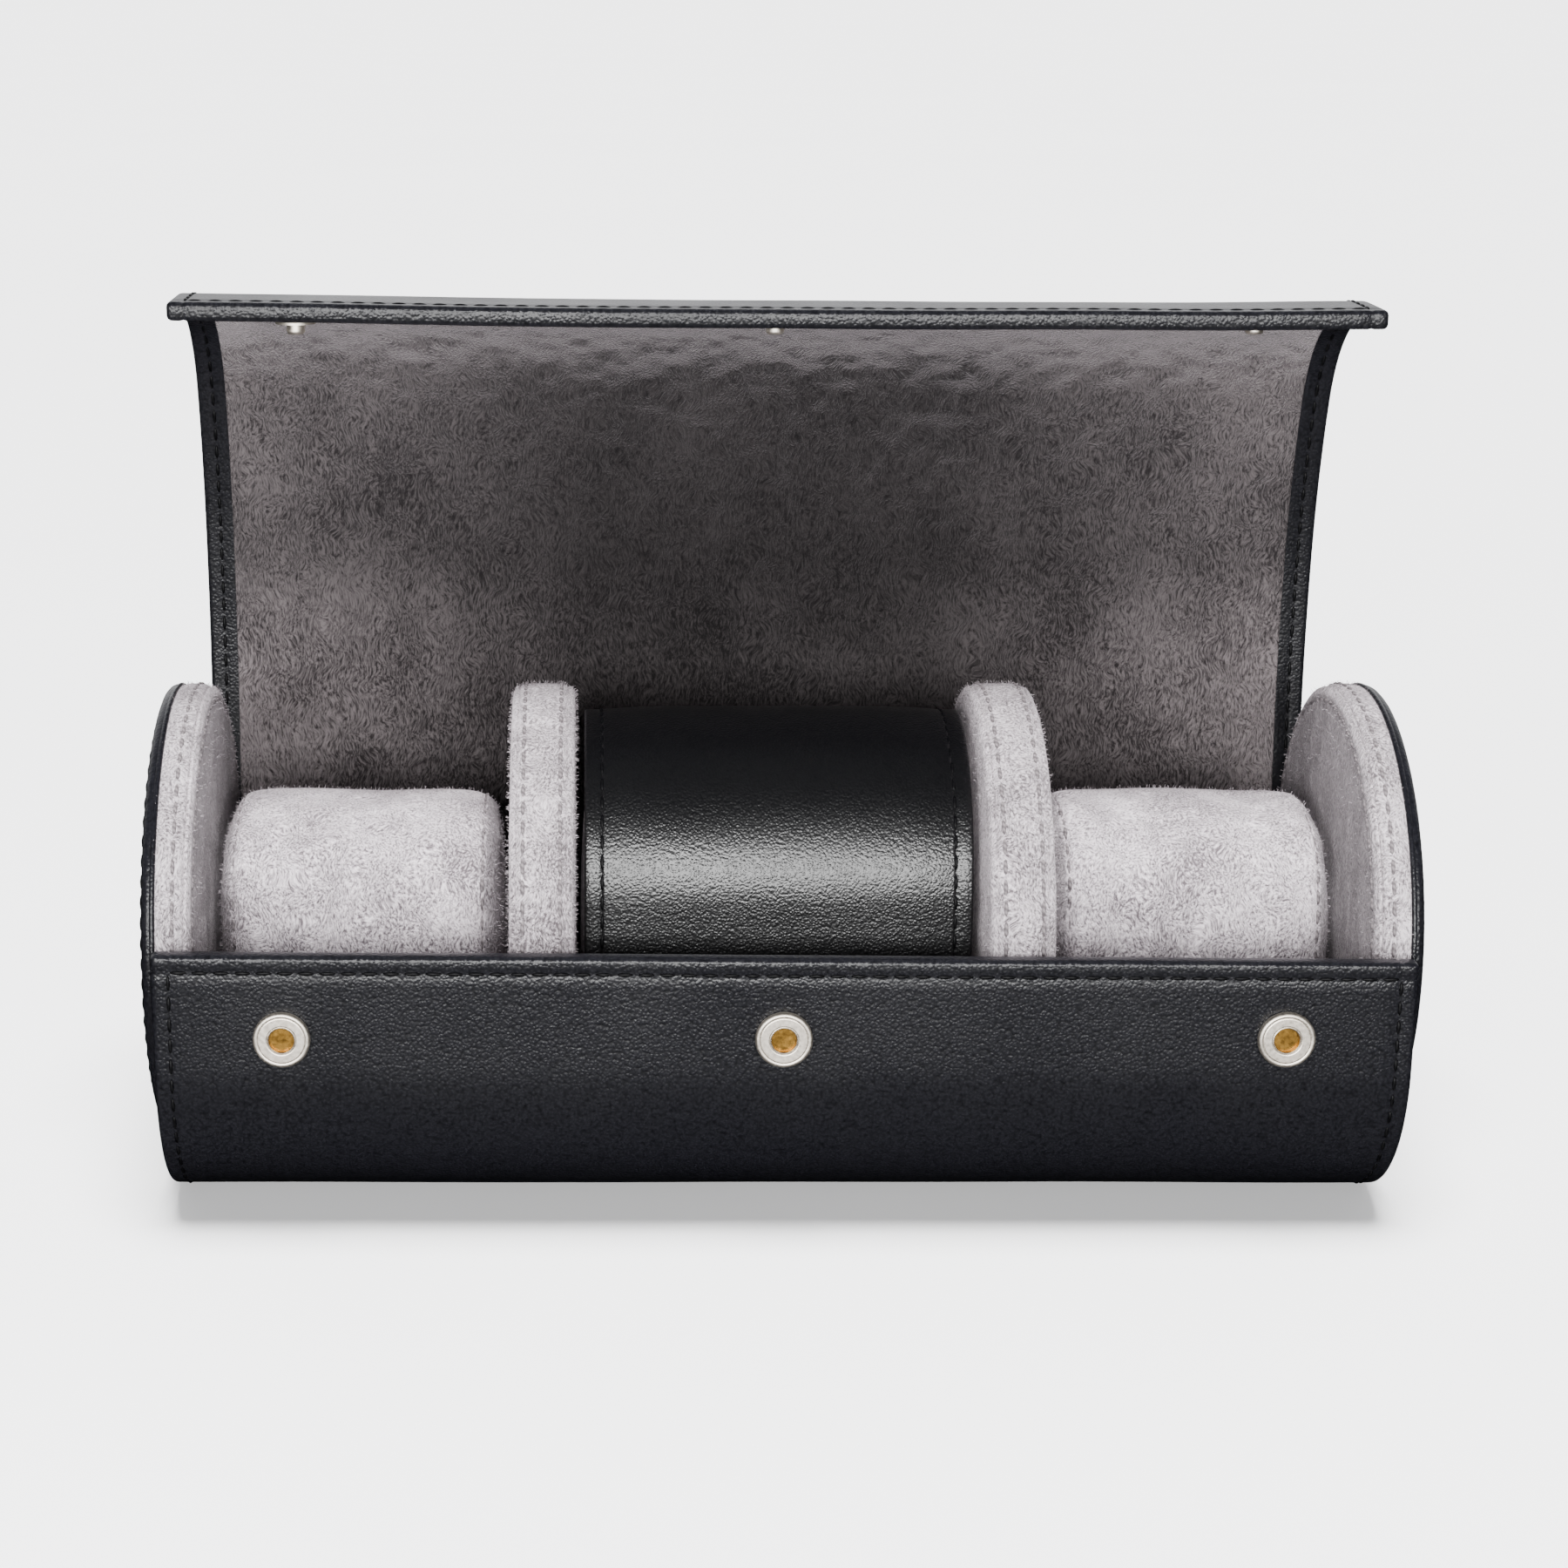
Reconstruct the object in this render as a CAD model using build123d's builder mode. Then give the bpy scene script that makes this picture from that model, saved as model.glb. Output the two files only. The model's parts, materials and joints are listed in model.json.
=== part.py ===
"""A leather roll case with three compartments, standing open.

The wrap is one curved sheet of leather, board and suede. It runs up the front as a flap, under the
round ends and dividers, up the back and over the top as the lid, which bends along three folds.
X runs along the case, Y to its back and Z up. The origin is in the middle of the flat bottom.
"""
import os
from math import cos, radians, sin

from build123d import *

os.makedirs("parts", exist_ok=True)

# Overall sizes in millimetres
wrap_width = 234.0  # the wrap, from side edge to side edge
cap_overhang = 3.0  # the round ends stand out beyond the wrap's sides
round_radius = 45.0  # round ends and dividers
round_seat = 0.3  # between the round pieces and the bottom lining

# Layers of the wrap, counted outwards from its inner face
lining_thick = 0.8
board_thick = 1.6
leather_thick = 1.2
glue_gap = 0.05
side_border = 5.8  # leather turned over the side edges and seen inside
board_near = lining_thick + glue_gap
board_far = board_near + board_thick
leather_near = board_far + glue_gap
wrap_thick = leather_near + leather_thick
axis_z = wrap_thick + round_seat + round_radius

# Course of the wrap's inner face, from the flap's edge to the lid's edge
corner_radius = 30.0  # the rounded corners beside the flat bottom
front_room = 2.3  # the flap stands this far off the round pieces
flap_rise = 6.0  # the flap's edge above the axis of the round pieces
flap_crease = 45.0  # degrees of the front corner that swing with the flap
rear_room = 1.35  # the back stands this far off the round pieces where it starts to lean
rear_lean = 10.0  # degrees by which the back leans away
lid_start_rise = 0.5  # the lid's first fold above the axis
lower_length = 30.0
lower_turn = 8.0
middle_length = 36.0
middle_turn = 8.0
upper_length = 31.0
upper_turn = 14.0
bend_radius = 30.0
bend_turn = 46.0  # degrees of the bend before the last fold
lid_flat = 15.0
lid_facing = 14.0  # leather facing inside the lid's front edge
flap_facing = 5.8  # leather turned over the flap's edge
fold_gap = 0.3
edge_round = 0.7

# Snap fasteners
snap_inset = 24.0  # the outer snaps, from the wrap's side edges
socket_drop = 15.3  # below the flap's edge
socket_radius = 5.35
socket_height = 2.2
socket_floor = 0.4
socket_hole = 2.5
spring_groove = 3.6
groove_low = 0.7
groove_height = 0.8
spring_wire = 0.6
spring_offset = 2.55
rivet_radius = 1.5
rivet_flange = 4.0
flange_thick = 0.5
stud_inset = 8.5  # from the lid's edge
stud_radius = 1.8
stud_height = 2.6
stud_flange = 4.0
stud_bore = 1.0
rivet_fit = 0.1

# Round ends, counted inwards from the outer face
cap_depth = 9.0
cap_rim = 2.5  # leather turned over the rim
cap_board = 2.0
gusset_thick = 1.0
cap_crown = 1.4
spine_thick = 0.8
spine_gap = 0.15
spine_below = 25.0  # degrees under the axis
spine_above = 28.0  # degrees over the axis

# Dividers
divider_thick = 12.0
divider_cover = 1.0
divider_crown = 0.5
divider_edge_round = 1.6

# Pillows
pillow_seat = 0.3
pillow_divider_gap = 1.5  # between a side pillow and the divider
pillow_cap_gap = 2.0  # between a side pillow and the round end
pillow_depth = 50.0
pillow_top = 73.5
pillow_round = 24.0
pillow_draw = 3.5  # by how much the ends are drawn in
pillow_stations = (-90, -60, -30, 0, 30, 60, 90)  # degrees round the crown, from end to end
cover_thick = 1.0
sleeve_width = 74.0
sleeve_side_gap = 2.0  # between the sleeve and the dividers
sleeve_depth = 61.0
sleeve_top = 89.2
sleeve_foot = 8.0
sleeve_leather = 1.4
sleeve_lining = 0.8
sleeve_fit = 0.3
centre_flat = 0.6  # flat stretch across the centre pillow's top

quarter_turn = 90.0
half_length = wrap_width / 2 + cap_overhang
wrap_front = -(round_radius + front_room)
snap_spacing = wrap_width / 2 - snap_inset
divider_centre = sleeve_width / 2 + sleeve_side_gap + divider_thick / 2


def keep(piece, name):
    """Name a finished piece and write it."""
    piece.label = name
    export_step(piece, f"parts/{name}.step")


def follow(place, run):
    """Where a run of the wrap ends. A place is (y, z, heading), a run is (length, turn)."""
    y, z, heading = place
    length, turn = run
    start = radians(heading)
    if turn == 0:
        return (y + length * cos(start), z + length * sin(start), heading)
    radius = length / radians(turn)
    end = radians(heading + turn)
    return (y + radius * (sin(end) - sin(start)), z - radius * (cos(end) - cos(start)), heading + turn)


def sunk(place, depth):
    """The point at a depth outwards from the inner face."""
    y, z, heading = place
    return (y + depth * sin(radians(heading)), z - depth * cos(radians(heading)))


def arc_run(radius, turn):
    """A run that turns by an angle at a radius."""
    return (radius * radians(turn), turn)


def trim(place, runs, lead=0.0, tail=0.0):
    """Shorten a course at its start and its end."""
    runs = list(runs)
    length, turn = runs[0]
    place = follow(place, (lead, turn * lead / length)) if lead else place
    runs[0] = (length - lead, turn * (length - lead) / length)
    length, turn = runs[-1]
    runs[-1] = (length - tail, turn * (length - tail) / length)
    return place, runs


def wrap_section(course, near, far):
    """The slice of the wrap between two depths."""
    place, runs = course
    places = [place]
    for run in runs:
        places.append(follow(places[-1], run))
    with BuildSketch(Plane.YZ) as section:
        with BuildLine():
            for depth in (near, far):
                for here, after, run in zip(places, places[1:], runs):
                    length, turn = run
                    if turn == 0:
                        Line(sunk(here, depth), sunk(after, depth))
                    else:
                        tangent = (cos(radians(here[2])), sin(radians(here[2])))
                        JernArc(sunk(here, depth), tangent, length / radians(turn) + depth, turn)
            for end in (places[0], places[-1]):
                Line(sunk(end, near), sunk(end, far))
        make_face()
    return section.sketch


def leather_panel(course, lead_facing=0.0, tail_facing=0.0):
    """Outer leather, turned over the side edges and, where it has a facing, over an end."""
    lead_wall = leather_thick if lead_facing else 0.0
    tail_wall = leather_thick if tail_facing else 0.0
    with BuildPart() as leather:
        extrude(wrap_section(course, 0, wrap_thick), wrap_width / 2, both=True)
        hollow = trim(*course, lead_wall, tail_wall)
        extrude(wrap_section(hollow, lining_thick, leather_near), wrap_width / 2 - leather_thick,
                both=True, mode=Mode.SUBTRACT)
        window = trim(*course, lead_facing, tail_facing)
        extrude(wrap_section(window, -lining_thick, leather_near), wrap_width / 2 - side_border,
                both=True, mode=Mode.SUBTRACT)
        place, runs = course
        if lead_facing:
            end = place
        elif tail_facing:
            end = place
            for run in runs:
                end = follow(end, run)
        if lead_facing or tail_facing:
            corners = [Vector(0, *sunk(end, depth)) for depth in (0, wrap_thick)]
            along = leather.edges().filter_by(Axis.X)
            fillet([along.sort_by_distance(corner)[0] for corner in corners], edge_round)
    return leather.part


def board_panel(course, lead_facing=0.0, tail_facing=0.0):
    """Stiffening board between the leather and the lining."""
    lead_wall = leather_thick + glue_gap if lead_facing else 0.0
    tail_wall = leather_thick + glue_gap if tail_facing else 0.0
    with BuildPart() as board:
        section = wrap_section(trim(*course, lead_wall, tail_wall), board_near, board_far)
        extrude(section, wrap_width / 2 - leather_thick - glue_gap, both=True)
    return board.part


def lining_panel(course, lead_facing=0.0, tail_facing=0.0):
    """Suede lining, which lies between the turned edges of the leather."""
    lead_edge = lead_facing + glue_gap if lead_facing else 0.0
    tail_edge = tail_facing + glue_gap if tail_facing else 0.0
    with BuildPart() as lining:
        section = wrap_section(trim(*course, lead_edge, tail_edge), 0, lining_thick)
        extrude(section, wrap_width / 2 - side_border - glue_gap, both=True)
    return lining.part


# Courses of the wrap: the flap, the case and the four panels of the lid
flap_edge = (wrap_front, axis_z + flap_rise, -quarter_turn)
corner_z = wrap_thick + corner_radius
flap_runs = [(axis_z + flap_rise - corner_z, 0), arc_run(corner_radius, flap_crease)]
flap_end = follow(follow(flap_edge, flap_runs[0]), flap_runs[1])
flap_course = trim(flap_edge, flap_runs, tail=fold_gap / 2)

rear_turn = quarter_turn - rear_lean
rear_flat = round_radius + rear_room - corner_radius * sin(radians(rear_turn))
bottom_flat = rear_flat - wrap_front - corner_radius
case_start = [arc_run(corner_radius, quarter_turn - flap_crease), (bottom_flat, 0),
              arc_run(corner_radius, rear_turn)]
rear_corner = flap_end
for run in case_start:
    rear_corner = follow(rear_corner, run)
back_length = (axis_z + lid_start_rise - rear_corner[1]) / cos(radians(rear_lean))
case_runs = case_start + [(back_length, 0)]
lid_start = follow(rear_corner, case_runs[-1])
case_course = trim(flap_end, case_runs, fold_gap / 2, fold_gap / 2)

lower_runs = [(lower_length, lower_turn)]
middle_runs = [(middle_length, middle_turn)]
upper_runs = [(upper_length, upper_turn), arc_run(bend_radius, bend_turn)]
front_turn = quarter_turn + rear_lean - lower_turn - middle_turn - upper_turn - bend_turn
front_runs = [arc_run(bend_radius, front_turn), (lid_flat, 0)]
lid_panels = {"lid_lower": lower_runs, "lid_middle": middle_runs, "lid_upper": upper_runs}
lid_place = lid_start
lid_courses = {}
for name, runs in lid_panels.items():
    lid_courses[name] = trim(lid_place, runs, fold_gap / 2, fold_gap / 2)
    for run in runs:
        lid_place = follow(lid_place, run)
front_course = trim(lid_place, front_runs, lead=fold_gap / 2)
lid_edge = follow(follow(lid_place, front_runs[0]), front_runs[1])
stud_place = follow(lid_edge, (-stud_inset, 0))

# Bottom and back of the case
keep(leather_panel(case_course), "case_leather")
keep(board_panel(case_course), "case_board")
keep(lining_panel(case_course), "case_lining")

# Three lower panels of the lid
for name, course in lid_courses.items():
    keep(leather_panel(course), f"{name}_leather")
    keep(board_panel(course), f"{name}_board")
    keep(lining_panel(course), f"{name}_lining")

# Front panel of the lid, with holes for the studs' rivets under its leather
stud_plane = Plane((0, stud_place[0], stud_place[1]), x_dir=(1, 0, 0), z_dir=(0, 0, -1))
snap_places = [(-snap_spacing, 0), (0, 0), (snap_spacing, 0)]

with BuildPart() as lid_front_leather:
    add(leather_panel(front_course, tail_facing=lid_facing))
    with BuildSketch(stud_plane.offset(-lining_thick)):
        with Locations(*snap_places):
            Circle(stud_bore + rivet_fit)
    extrude(amount=lining_thick, mode=Mode.SUBTRACT)
keep(lid_front_leather.part, "lid_front_leather")

with BuildPart() as lid_front_board:
    add(board_panel(front_course, tail_facing=lid_facing))
    with BuildSketch(stud_plane.offset(-board_far)):
        with Locations(*snap_places):
            Circle(stud_bore + rivet_fit)
    extrude(amount=board_thick, mode=Mode.SUBTRACT)
    with BuildSketch(stud_plane.offset(-board_far)):
        with Locations(*snap_places):
            Circle(stud_flange + rivet_fit)
    extrude(amount=flange_thick + rivet_fit, mode=Mode.SUBTRACT)
keep(lid_front_board.part, "lid_front_board")
keep(lining_panel(front_course, tail_facing=lid_facing), "lid_front_lining")

# Snap studs under the lid's edge: a flange and a hollow post with a lip
with BuildPart() as snap_studs:
    with BuildSketch(stud_plane):
        with Locations(*snap_places):
            Circle(stud_flange)
    extrude(amount=flange_thick)
    with BuildSketch(stud_plane.offset(flange_thick)):
        with Locations(*snap_places):
            Circle(stud_radius)
    extrude(amount=stud_height - flange_thick)
    lips = snap_studs.edges().filter_by(GeomType.CIRCLE).group_by(Axis.Z)[0]
    fillet(lips, edge_round)
    with BuildSketch(stud_plane):
        with Locations(*snap_places):
            Circle(stud_bore + rivet_fit)
    extrude(amount=stud_height, mode=Mode.SUBTRACT)
keep(snap_studs.part, "snap_studs")

with BuildPart() as stud_rivets:
    with BuildSketch(stud_plane.offset(-board_far)):
        with Locations(*snap_places):
            Circle(stud_flange)
    extrude(amount=flange_thick)
    with BuildSketch(stud_plane.offset(-board_far)):
        with Locations(*snap_places):
            Circle(stud_bore)
    extrude(amount=board_far + stud_height - edge_round)
keep(stud_rivets.part, "stud_rivets")

# Front flap, with holes for the sockets' rivets
socket_z = axis_z + flap_rise - socket_drop
flap_face = wrap_front - wrap_thick
socket_plane = Plane((0, flap_face, socket_z), x_dir=(1, 0, 0), z_dir=(0, -1, 0))
flap_layers = {"flap_leather": leather_panel, "flap_board": board_panel, "flap_lining": lining_panel}
for name, make_layer in flap_layers.items():
    with BuildPart() as layer:
        add(make_layer(flap_course, lead_facing=flap_facing))
        with BuildSketch(socket_plane):
            with Locations(*snap_places):
                Circle(rivet_radius + rivet_fit)
        extrude(amount=-wrap_thick, mode=Mode.SUBTRACT)
    keep(layer.part, name)

# Snap sockets: a round cup with a hole and a groove for its two springs
with BuildPart() as snap_sockets:
    with BuildSketch(socket_plane):
        with Locations(*snap_places):
            Circle(socket_radius)
    extrude(amount=socket_height)
    rims = snap_sockets.edges().filter_by(GeomType.CIRCLE).group_by(Axis.Y)[0]
    fillet(rims, edge_round)
    with BuildSketch(socket_plane.offset(socket_floor)):
        with Locations(*snap_places):
            Circle(socket_hole)
    extrude(amount=socket_height, mode=Mode.SUBTRACT)
    with BuildSketch(socket_plane.offset(groove_low)):
        with Locations(*snap_places):
            Circle(spring_groove)
    extrude(amount=groove_height, mode=Mode.SUBTRACT)
    with BuildSketch(socket_plane):
        with Locations(*snap_places):
            Circle(rivet_radius + rivet_fit)
    extrude(amount=socket_floor, mode=Mode.SUBTRACT)
keep(snap_sockets.part, "snap_sockets")

# Two straight spring wires across each socket's groove
spring_reach = (spring_groove - rivet_fit) ** 2 - (spring_offset + spring_wire / 2) ** 2
spring_half = spring_reach ** 0.5
spring_height = groove_low + groove_height / 2
with BuildPart() as socket_springs:
    for x, _ in snap_places:
        for offset in (-spring_offset, spring_offset):
            start = Plane((x - spring_half, flap_face - spring_height, socket_z + offset), z_dir=(1, 0, 0))
            with BuildSketch(start):
                Circle(spring_wire / 2)
            extrude(amount=2 * spring_half)
keep(socket_springs.part, "socket_springs")

with BuildPart() as socket_rivets:
    with BuildSketch(socket_plane.offset(-wrap_thick - flange_thick)):
        with Locations(*snap_places):
            Circle(rivet_flange)
    extrude(amount=flange_thick)
    with BuildSketch(socket_plane.offset(-wrap_thick)):
        with Locations(*snap_places):
            Circle(rivet_radius)
    extrude(amount=wrap_thick + socket_floor)
keep(socket_rivets.part, "socket_rivets")

# Round ends: a leather dish, a board, a suede gusset and a crowned suede pad
axis_line = Axis((0, 0, axis_z), (1, 0, 0))
pad_radius = round_radius - gusset_thick - glue_gap
for side, name in ((-1, "left_cap"), (1, "right_cap")):
    outer_face = side * half_length
    with BuildPart() as cap_leather:
        with BuildSketch(Plane.YZ.offset(outer_face)):
            with Locations((0, axis_z)):
                Circle(round_radius)
        extrude(amount=-side * cap_rim)
        fillet(cap_leather.edges().group_by(Axis.X)[-1 if side > 0 else 0], edge_round)
        with BuildSketch(Plane.YZ.offset(outer_face - side * leather_thick)):
            with Locations((0, axis_z)):
                Circle(round_radius - leather_thick)
        extrude(amount=-side * cap_rim, mode=Mode.SUBTRACT)
    keep(cap_leather.part, f"{name}_leather")

    board_face = outer_face - side * (leather_thick + glue_gap)
    with BuildPart() as cap_stiffener:
        with BuildSketch(Plane.YZ.offset(board_face)):
            with Locations((0, axis_z)):
                Circle(round_radius - leather_thick - glue_gap)
        extrude(amount=-side * cap_board)
    keep(cap_stiffener.part, f"{name}_board")

    with BuildPart() as cap_gusset:
        with BuildSketch(Plane.YZ.offset(outer_face - side * (cap_rim + glue_gap))):
            with Locations((0, axis_z)):
                Circle(round_radius)
                Circle(round_radius - gusset_thick, mode=Mode.SUBTRACT)
        extrude(amount=-side * (cap_depth - cap_rim - glue_gap))
    keep(cap_gusset.part, f"{name}_gusset")

    pad_back = board_face - side * (cap_board + glue_gap)
    pad_front = outer_face - side * cap_depth
    with BuildPart() as cap_pad:
        with BuildSketch(Plane.XZ):
            with BuildLine():
                Polyline(
                    (pad_front - side * cap_crown, axis_z),
                    (pad_back, axis_z),
                    (pad_back, axis_z + pad_radius),
                    (pad_front, axis_z + pad_radius),
                )
                TangentArc(
                    (pad_front - side * cap_crown, axis_z),
                    (pad_front, axis_z + pad_radius),
                    tangent=(0, 1),
                )
            make_face()
        revolve(axis=axis_line)
    keep(cap_pad.part, f"{name}_pad")

# Strip that ties the round pieces together behind, under the lid's first fold
with BuildPart() as hinge_spine:
    spine_inner = round_radius + spine_gap
    spine_turn = spine_below + spine_above
    spine_start = radians(-spine_below)
    spine_place = (spine_inner * cos(spine_start), axis_z + spine_inner * sin(spine_start),
                   quarter_turn - spine_below)
    spine_course = (spine_place, [arc_run(spine_inner, spine_turn)])
    extrude(wrap_section(spine_course, 0, spine_thick), wrap_width / 2 - leather_thick, both=True)
keep(hinge_spine.part, "hinge_spine")

# Round dividers: a core in a suede cover with slightly crowned faces
core_radius = round_radius - divider_cover - glue_gap
core_half = divider_thick / 2 - divider_cover - glue_gap
for side, name in ((-1, "left_divider"), (1, "right_divider")):
    centre = side * divider_centre
    with BuildPart() as divider_core:
        with BuildSketch(Plane.YZ.offset(centre)):
            with Locations((0, axis_z)):
                Circle(core_radius)
        extrude(amount=core_half, both=True)
    keep(divider_core.part, f"{name}_core")

    rim_half = divider_thick / 2
    face_half = rim_half + divider_crown
    with BuildPart() as divider_skin:
        with BuildSketch(Plane.XZ):
            with BuildLine():
                Line((centre - face_half, axis_z), (centre + face_half, axis_z))
                TangentArc(
                    (centre + face_half, axis_z), (centre + rim_half, axis_z + round_radius), tangent=(0, 1)
                )
                Line((centre + rim_half, axis_z + round_radius), (centre - rim_half, axis_z + round_radius))
                TangentArc(
                    (centre - face_half, axis_z), (centre - rim_half, axis_z + round_radius), tangent=(0, 1)
                )
            make_face()
        revolve(axis=axis_line)
        fillet(divider_skin.edges().filter_by(GeomType.CIRCLE), divider_edge_round)
        with BuildSketch(Plane.YZ.offset(centre)):
            with Locations((0, axis_z)):
                Circle(core_radius + glue_gap)
        extrude(amount=core_half + glue_gap, both=True, mode=Mode.SUBTRACT)
    keep(divider_skin.part, f"{name}_cover")


def pillow(centre, width, depth, top, corner, inset):
    """A crowned pillow whose ends are drawn in. The inset shrinks it on every side."""
    low = wrap_thick + pillow_seat + inset
    high = top - inset
    half = width / 2 - inset
    with BuildPart() as body:
        for angle in pillow_stations:
            draw = pillow_draw * (1 - cos(radians(angle)))
            with BuildSketch(Plane.YZ.offset(centre + half * sin(radians(angle)))):
                with Locations((0, (low + high) / 2)):
                    RectangleRounded(
                        depth - 2 * inset - 2 * draw, high - low - 2 * draw, corner - inset - draw
                    )
        loft()
    return body.part


# Side pillows: a suede cover over its filling
side_inner = divider_centre + divider_thick / 2 + pillow_divider_gap
side_outer = half_length - cap_depth - pillow_cap_gap
side_centre = (side_inner + side_outer) / 2
side_width = side_outer - side_inner
fill_inset = cover_thick + glue_gap
for side, name in ((-1, "left_pillow"), (1, "right_pillow")):
    size = (side * side_centre, side_width, pillow_depth, pillow_top, pillow_round)
    with BuildPart() as pillow_cover:
        add(pillow(*size, 0))
        add(pillow(*size, cover_thick), mode=Mode.SUBTRACT)
    keep(pillow_cover.part, f"{name}_cover")
    with BuildPart() as pillow_filling:
        add(pillow(*size, fill_inset))
    keep(pillow_filling.part, f"{name}_filling")

# Centre pillow under its arched leather sleeve
sleeve_wall = sleeve_leather + glue_gap + sleeve_lining
centre_depth = sleeve_depth - 2 * (sleeve_wall + sleeve_fit)
centre_top = sleeve_top - sleeve_wall - sleeve_fit
centre_round = (centre_depth - centre_flat) / 2
centre_size = (0, sleeve_width, centre_depth, centre_top, centre_round)
with BuildPart() as centre_pillow_cover:
    add(pillow(*centre_size, 0))
    add(pillow(*centre_size, cover_thick), mode=Mode.SUBTRACT)
keep(centre_pillow_cover.part, "centre_pillow_cover")
with BuildPart() as centre_pillow_filling:
    add(pillow(*centre_size, fill_inset))
keep(centre_pillow_filling.part, "centre_pillow_filling")


def sleeve_layer(near, far):
    """An arch over the centre pillow between two depths, counted inwards from its outer face."""
    with BuildPart() as arch:
        with BuildSketch(Plane.YZ):
            with BuildLine():
                for depth in (near, far):
                    reach = sleeve_depth / 2 - depth
                    spring_line = sleeve_top - sleeve_depth / 2
                    Line((-reach, sleeve_foot), (-reach, spring_line))
                    ThreePointArc((-reach, spring_line), (0, spring_line + reach), (reach, spring_line))
                    Line((reach, spring_line), (reach, sleeve_foot))
                for side in (-1, 1):
                    Line((side * (sleeve_depth / 2 - near), sleeve_foot),
                         (side * (sleeve_depth / 2 - far), sleeve_foot))
            make_face()
        extrude(amount=sleeve_width / 2, both=True)
    return arch.part


keep(sleeve_layer(0, sleeve_leather), "centre_sleeve_leather")
keep(sleeve_layer(sleeve_leather + glue_gap, sleeve_wall), "centre_sleeve_lining")
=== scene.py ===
# %% [markdown]
# # A leather roll case with three compartments
#
# The case stands open. A stiff wrap of black leather, lined with grey suede, runs up the front as a
# flap, under the round ends and dividers, up the back and over the top as the lid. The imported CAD
# model is the frame: its bodies move and its boxes give the places. This lesson dresses it.

import json
import math

import bpy
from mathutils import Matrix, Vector, noise

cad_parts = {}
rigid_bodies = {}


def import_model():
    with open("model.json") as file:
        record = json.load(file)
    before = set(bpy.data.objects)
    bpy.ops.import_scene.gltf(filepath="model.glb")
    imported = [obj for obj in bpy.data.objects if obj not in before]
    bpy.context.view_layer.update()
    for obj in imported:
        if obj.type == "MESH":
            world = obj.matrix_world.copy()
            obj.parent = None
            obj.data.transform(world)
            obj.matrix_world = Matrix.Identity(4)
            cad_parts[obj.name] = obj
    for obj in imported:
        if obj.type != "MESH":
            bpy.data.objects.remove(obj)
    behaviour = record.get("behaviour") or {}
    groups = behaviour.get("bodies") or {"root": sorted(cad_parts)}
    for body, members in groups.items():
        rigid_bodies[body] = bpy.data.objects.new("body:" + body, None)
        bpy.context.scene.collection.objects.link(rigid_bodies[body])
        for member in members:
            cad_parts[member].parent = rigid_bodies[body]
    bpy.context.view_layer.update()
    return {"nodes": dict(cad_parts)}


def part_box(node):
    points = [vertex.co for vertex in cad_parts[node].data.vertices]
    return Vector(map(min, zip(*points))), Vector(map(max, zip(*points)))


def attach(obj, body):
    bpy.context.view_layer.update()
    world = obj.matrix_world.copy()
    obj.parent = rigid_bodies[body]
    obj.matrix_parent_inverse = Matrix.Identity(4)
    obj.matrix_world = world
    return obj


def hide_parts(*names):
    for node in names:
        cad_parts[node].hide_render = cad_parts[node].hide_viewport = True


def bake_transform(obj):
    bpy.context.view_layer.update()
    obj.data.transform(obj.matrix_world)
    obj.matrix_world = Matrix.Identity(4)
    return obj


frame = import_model()
mm = 0.001

# %% [markdown]
# ## Selecting by place
#
# In edit mode every operator acts on what is selected. By hand you click; a script asks each
# vertex, edge or face where it is. These helpers deselect everything first, because the loaded
# nodes are still selected, and then select what passes a test.


# %% Helpers for selecting and finishing
def deselect_all():
    if bpy.context.mode != "OBJECT":
        bpy.ops.object.mode_set(mode="OBJECT")
    bpy.ops.object.select_all(action="DESELECT")


def make_active(piece):
    deselect_all()
    piece.select_set(True)
    bpy.context.view_layer.objects.active = piece


def pick(piece, kind, test):
    """Edit a piece with only the vertices, edges or faces selected that pass a test."""
    make_active(piece)
    bpy.ops.object.mode_set(mode="EDIT")
    bpy.ops.mesh.select_mode(type=kind)
    bpy.ops.mesh.select_all(action="DESELECT")
    bpy.ops.object.mode_set(mode="OBJECT")
    mesh = piece.data
    if kind == "EDGE":
        for edge in mesh.edges:
            edge.select = test(*(mesh.vertices[i] for i in edge.vertices))
    else:
        for item in mesh.vertices if kind == "VERT" else mesh.polygons:
            item.select = test(item)
    bpy.ops.object.mode_set(mode="EDIT")


def apply_modifier(piece, kind, **settings):
    make_active(piece)
    modifier = piece.modifiers.new(kind.title(), kind)
    for key, value in settings.items():
        setattr(modifier, key, value)
    bpy.ops.object.modifier_apply(modifier=modifier.name)


soft_angle = 80


def shade(piece, degrees=40):
    make_active(piece)
    bpy.ops.object.shade_smooth_by_angle(angle=math.radians(degrees))


def join_pieces(name, pieces):
    make_active(pieces[0])
    for piece in pieces:
        piece.select_set(True)
    bpy.ops.object.join()
    bpy.context.object.name = name
    return bpy.context.object


def separate_copy():
    """Copy what is selected in edit mode into an object of its own."""
    bpy.ops.mesh.duplicate()
    before = set(bpy.data.objects)
    bpy.ops.mesh.separate(type="SELECTED")
    return (set(bpy.data.objects) - before).pop()


def round_off(piece, test, offset, segments):
    """Bevel the edges that pass a test."""
    pick(piece, "EDGE", test)
    bpy.ops.mesh.bevel(offset=offset, segments=segments, affect="EDGES")
    bpy.ops.object.mode_set(mode="OBJECT")


def shift_vertices(piece, move):
    """Move vertices by what a function says of each, once all have been asked."""
    moves = [(vertex, move(vertex)) for vertex in piece.data.vertices]
    for vertex, step in moves:
        if step:
            vertex.co += step


# %% [markdown]
# ## Colours and nodes
#
# Colours are read off as sRGB hex values, and Blender's shaders work in linear light, so one
# function converts them. One more adds a node with its options and its inputs: an input is either a
# value or the output of another node.


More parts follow.
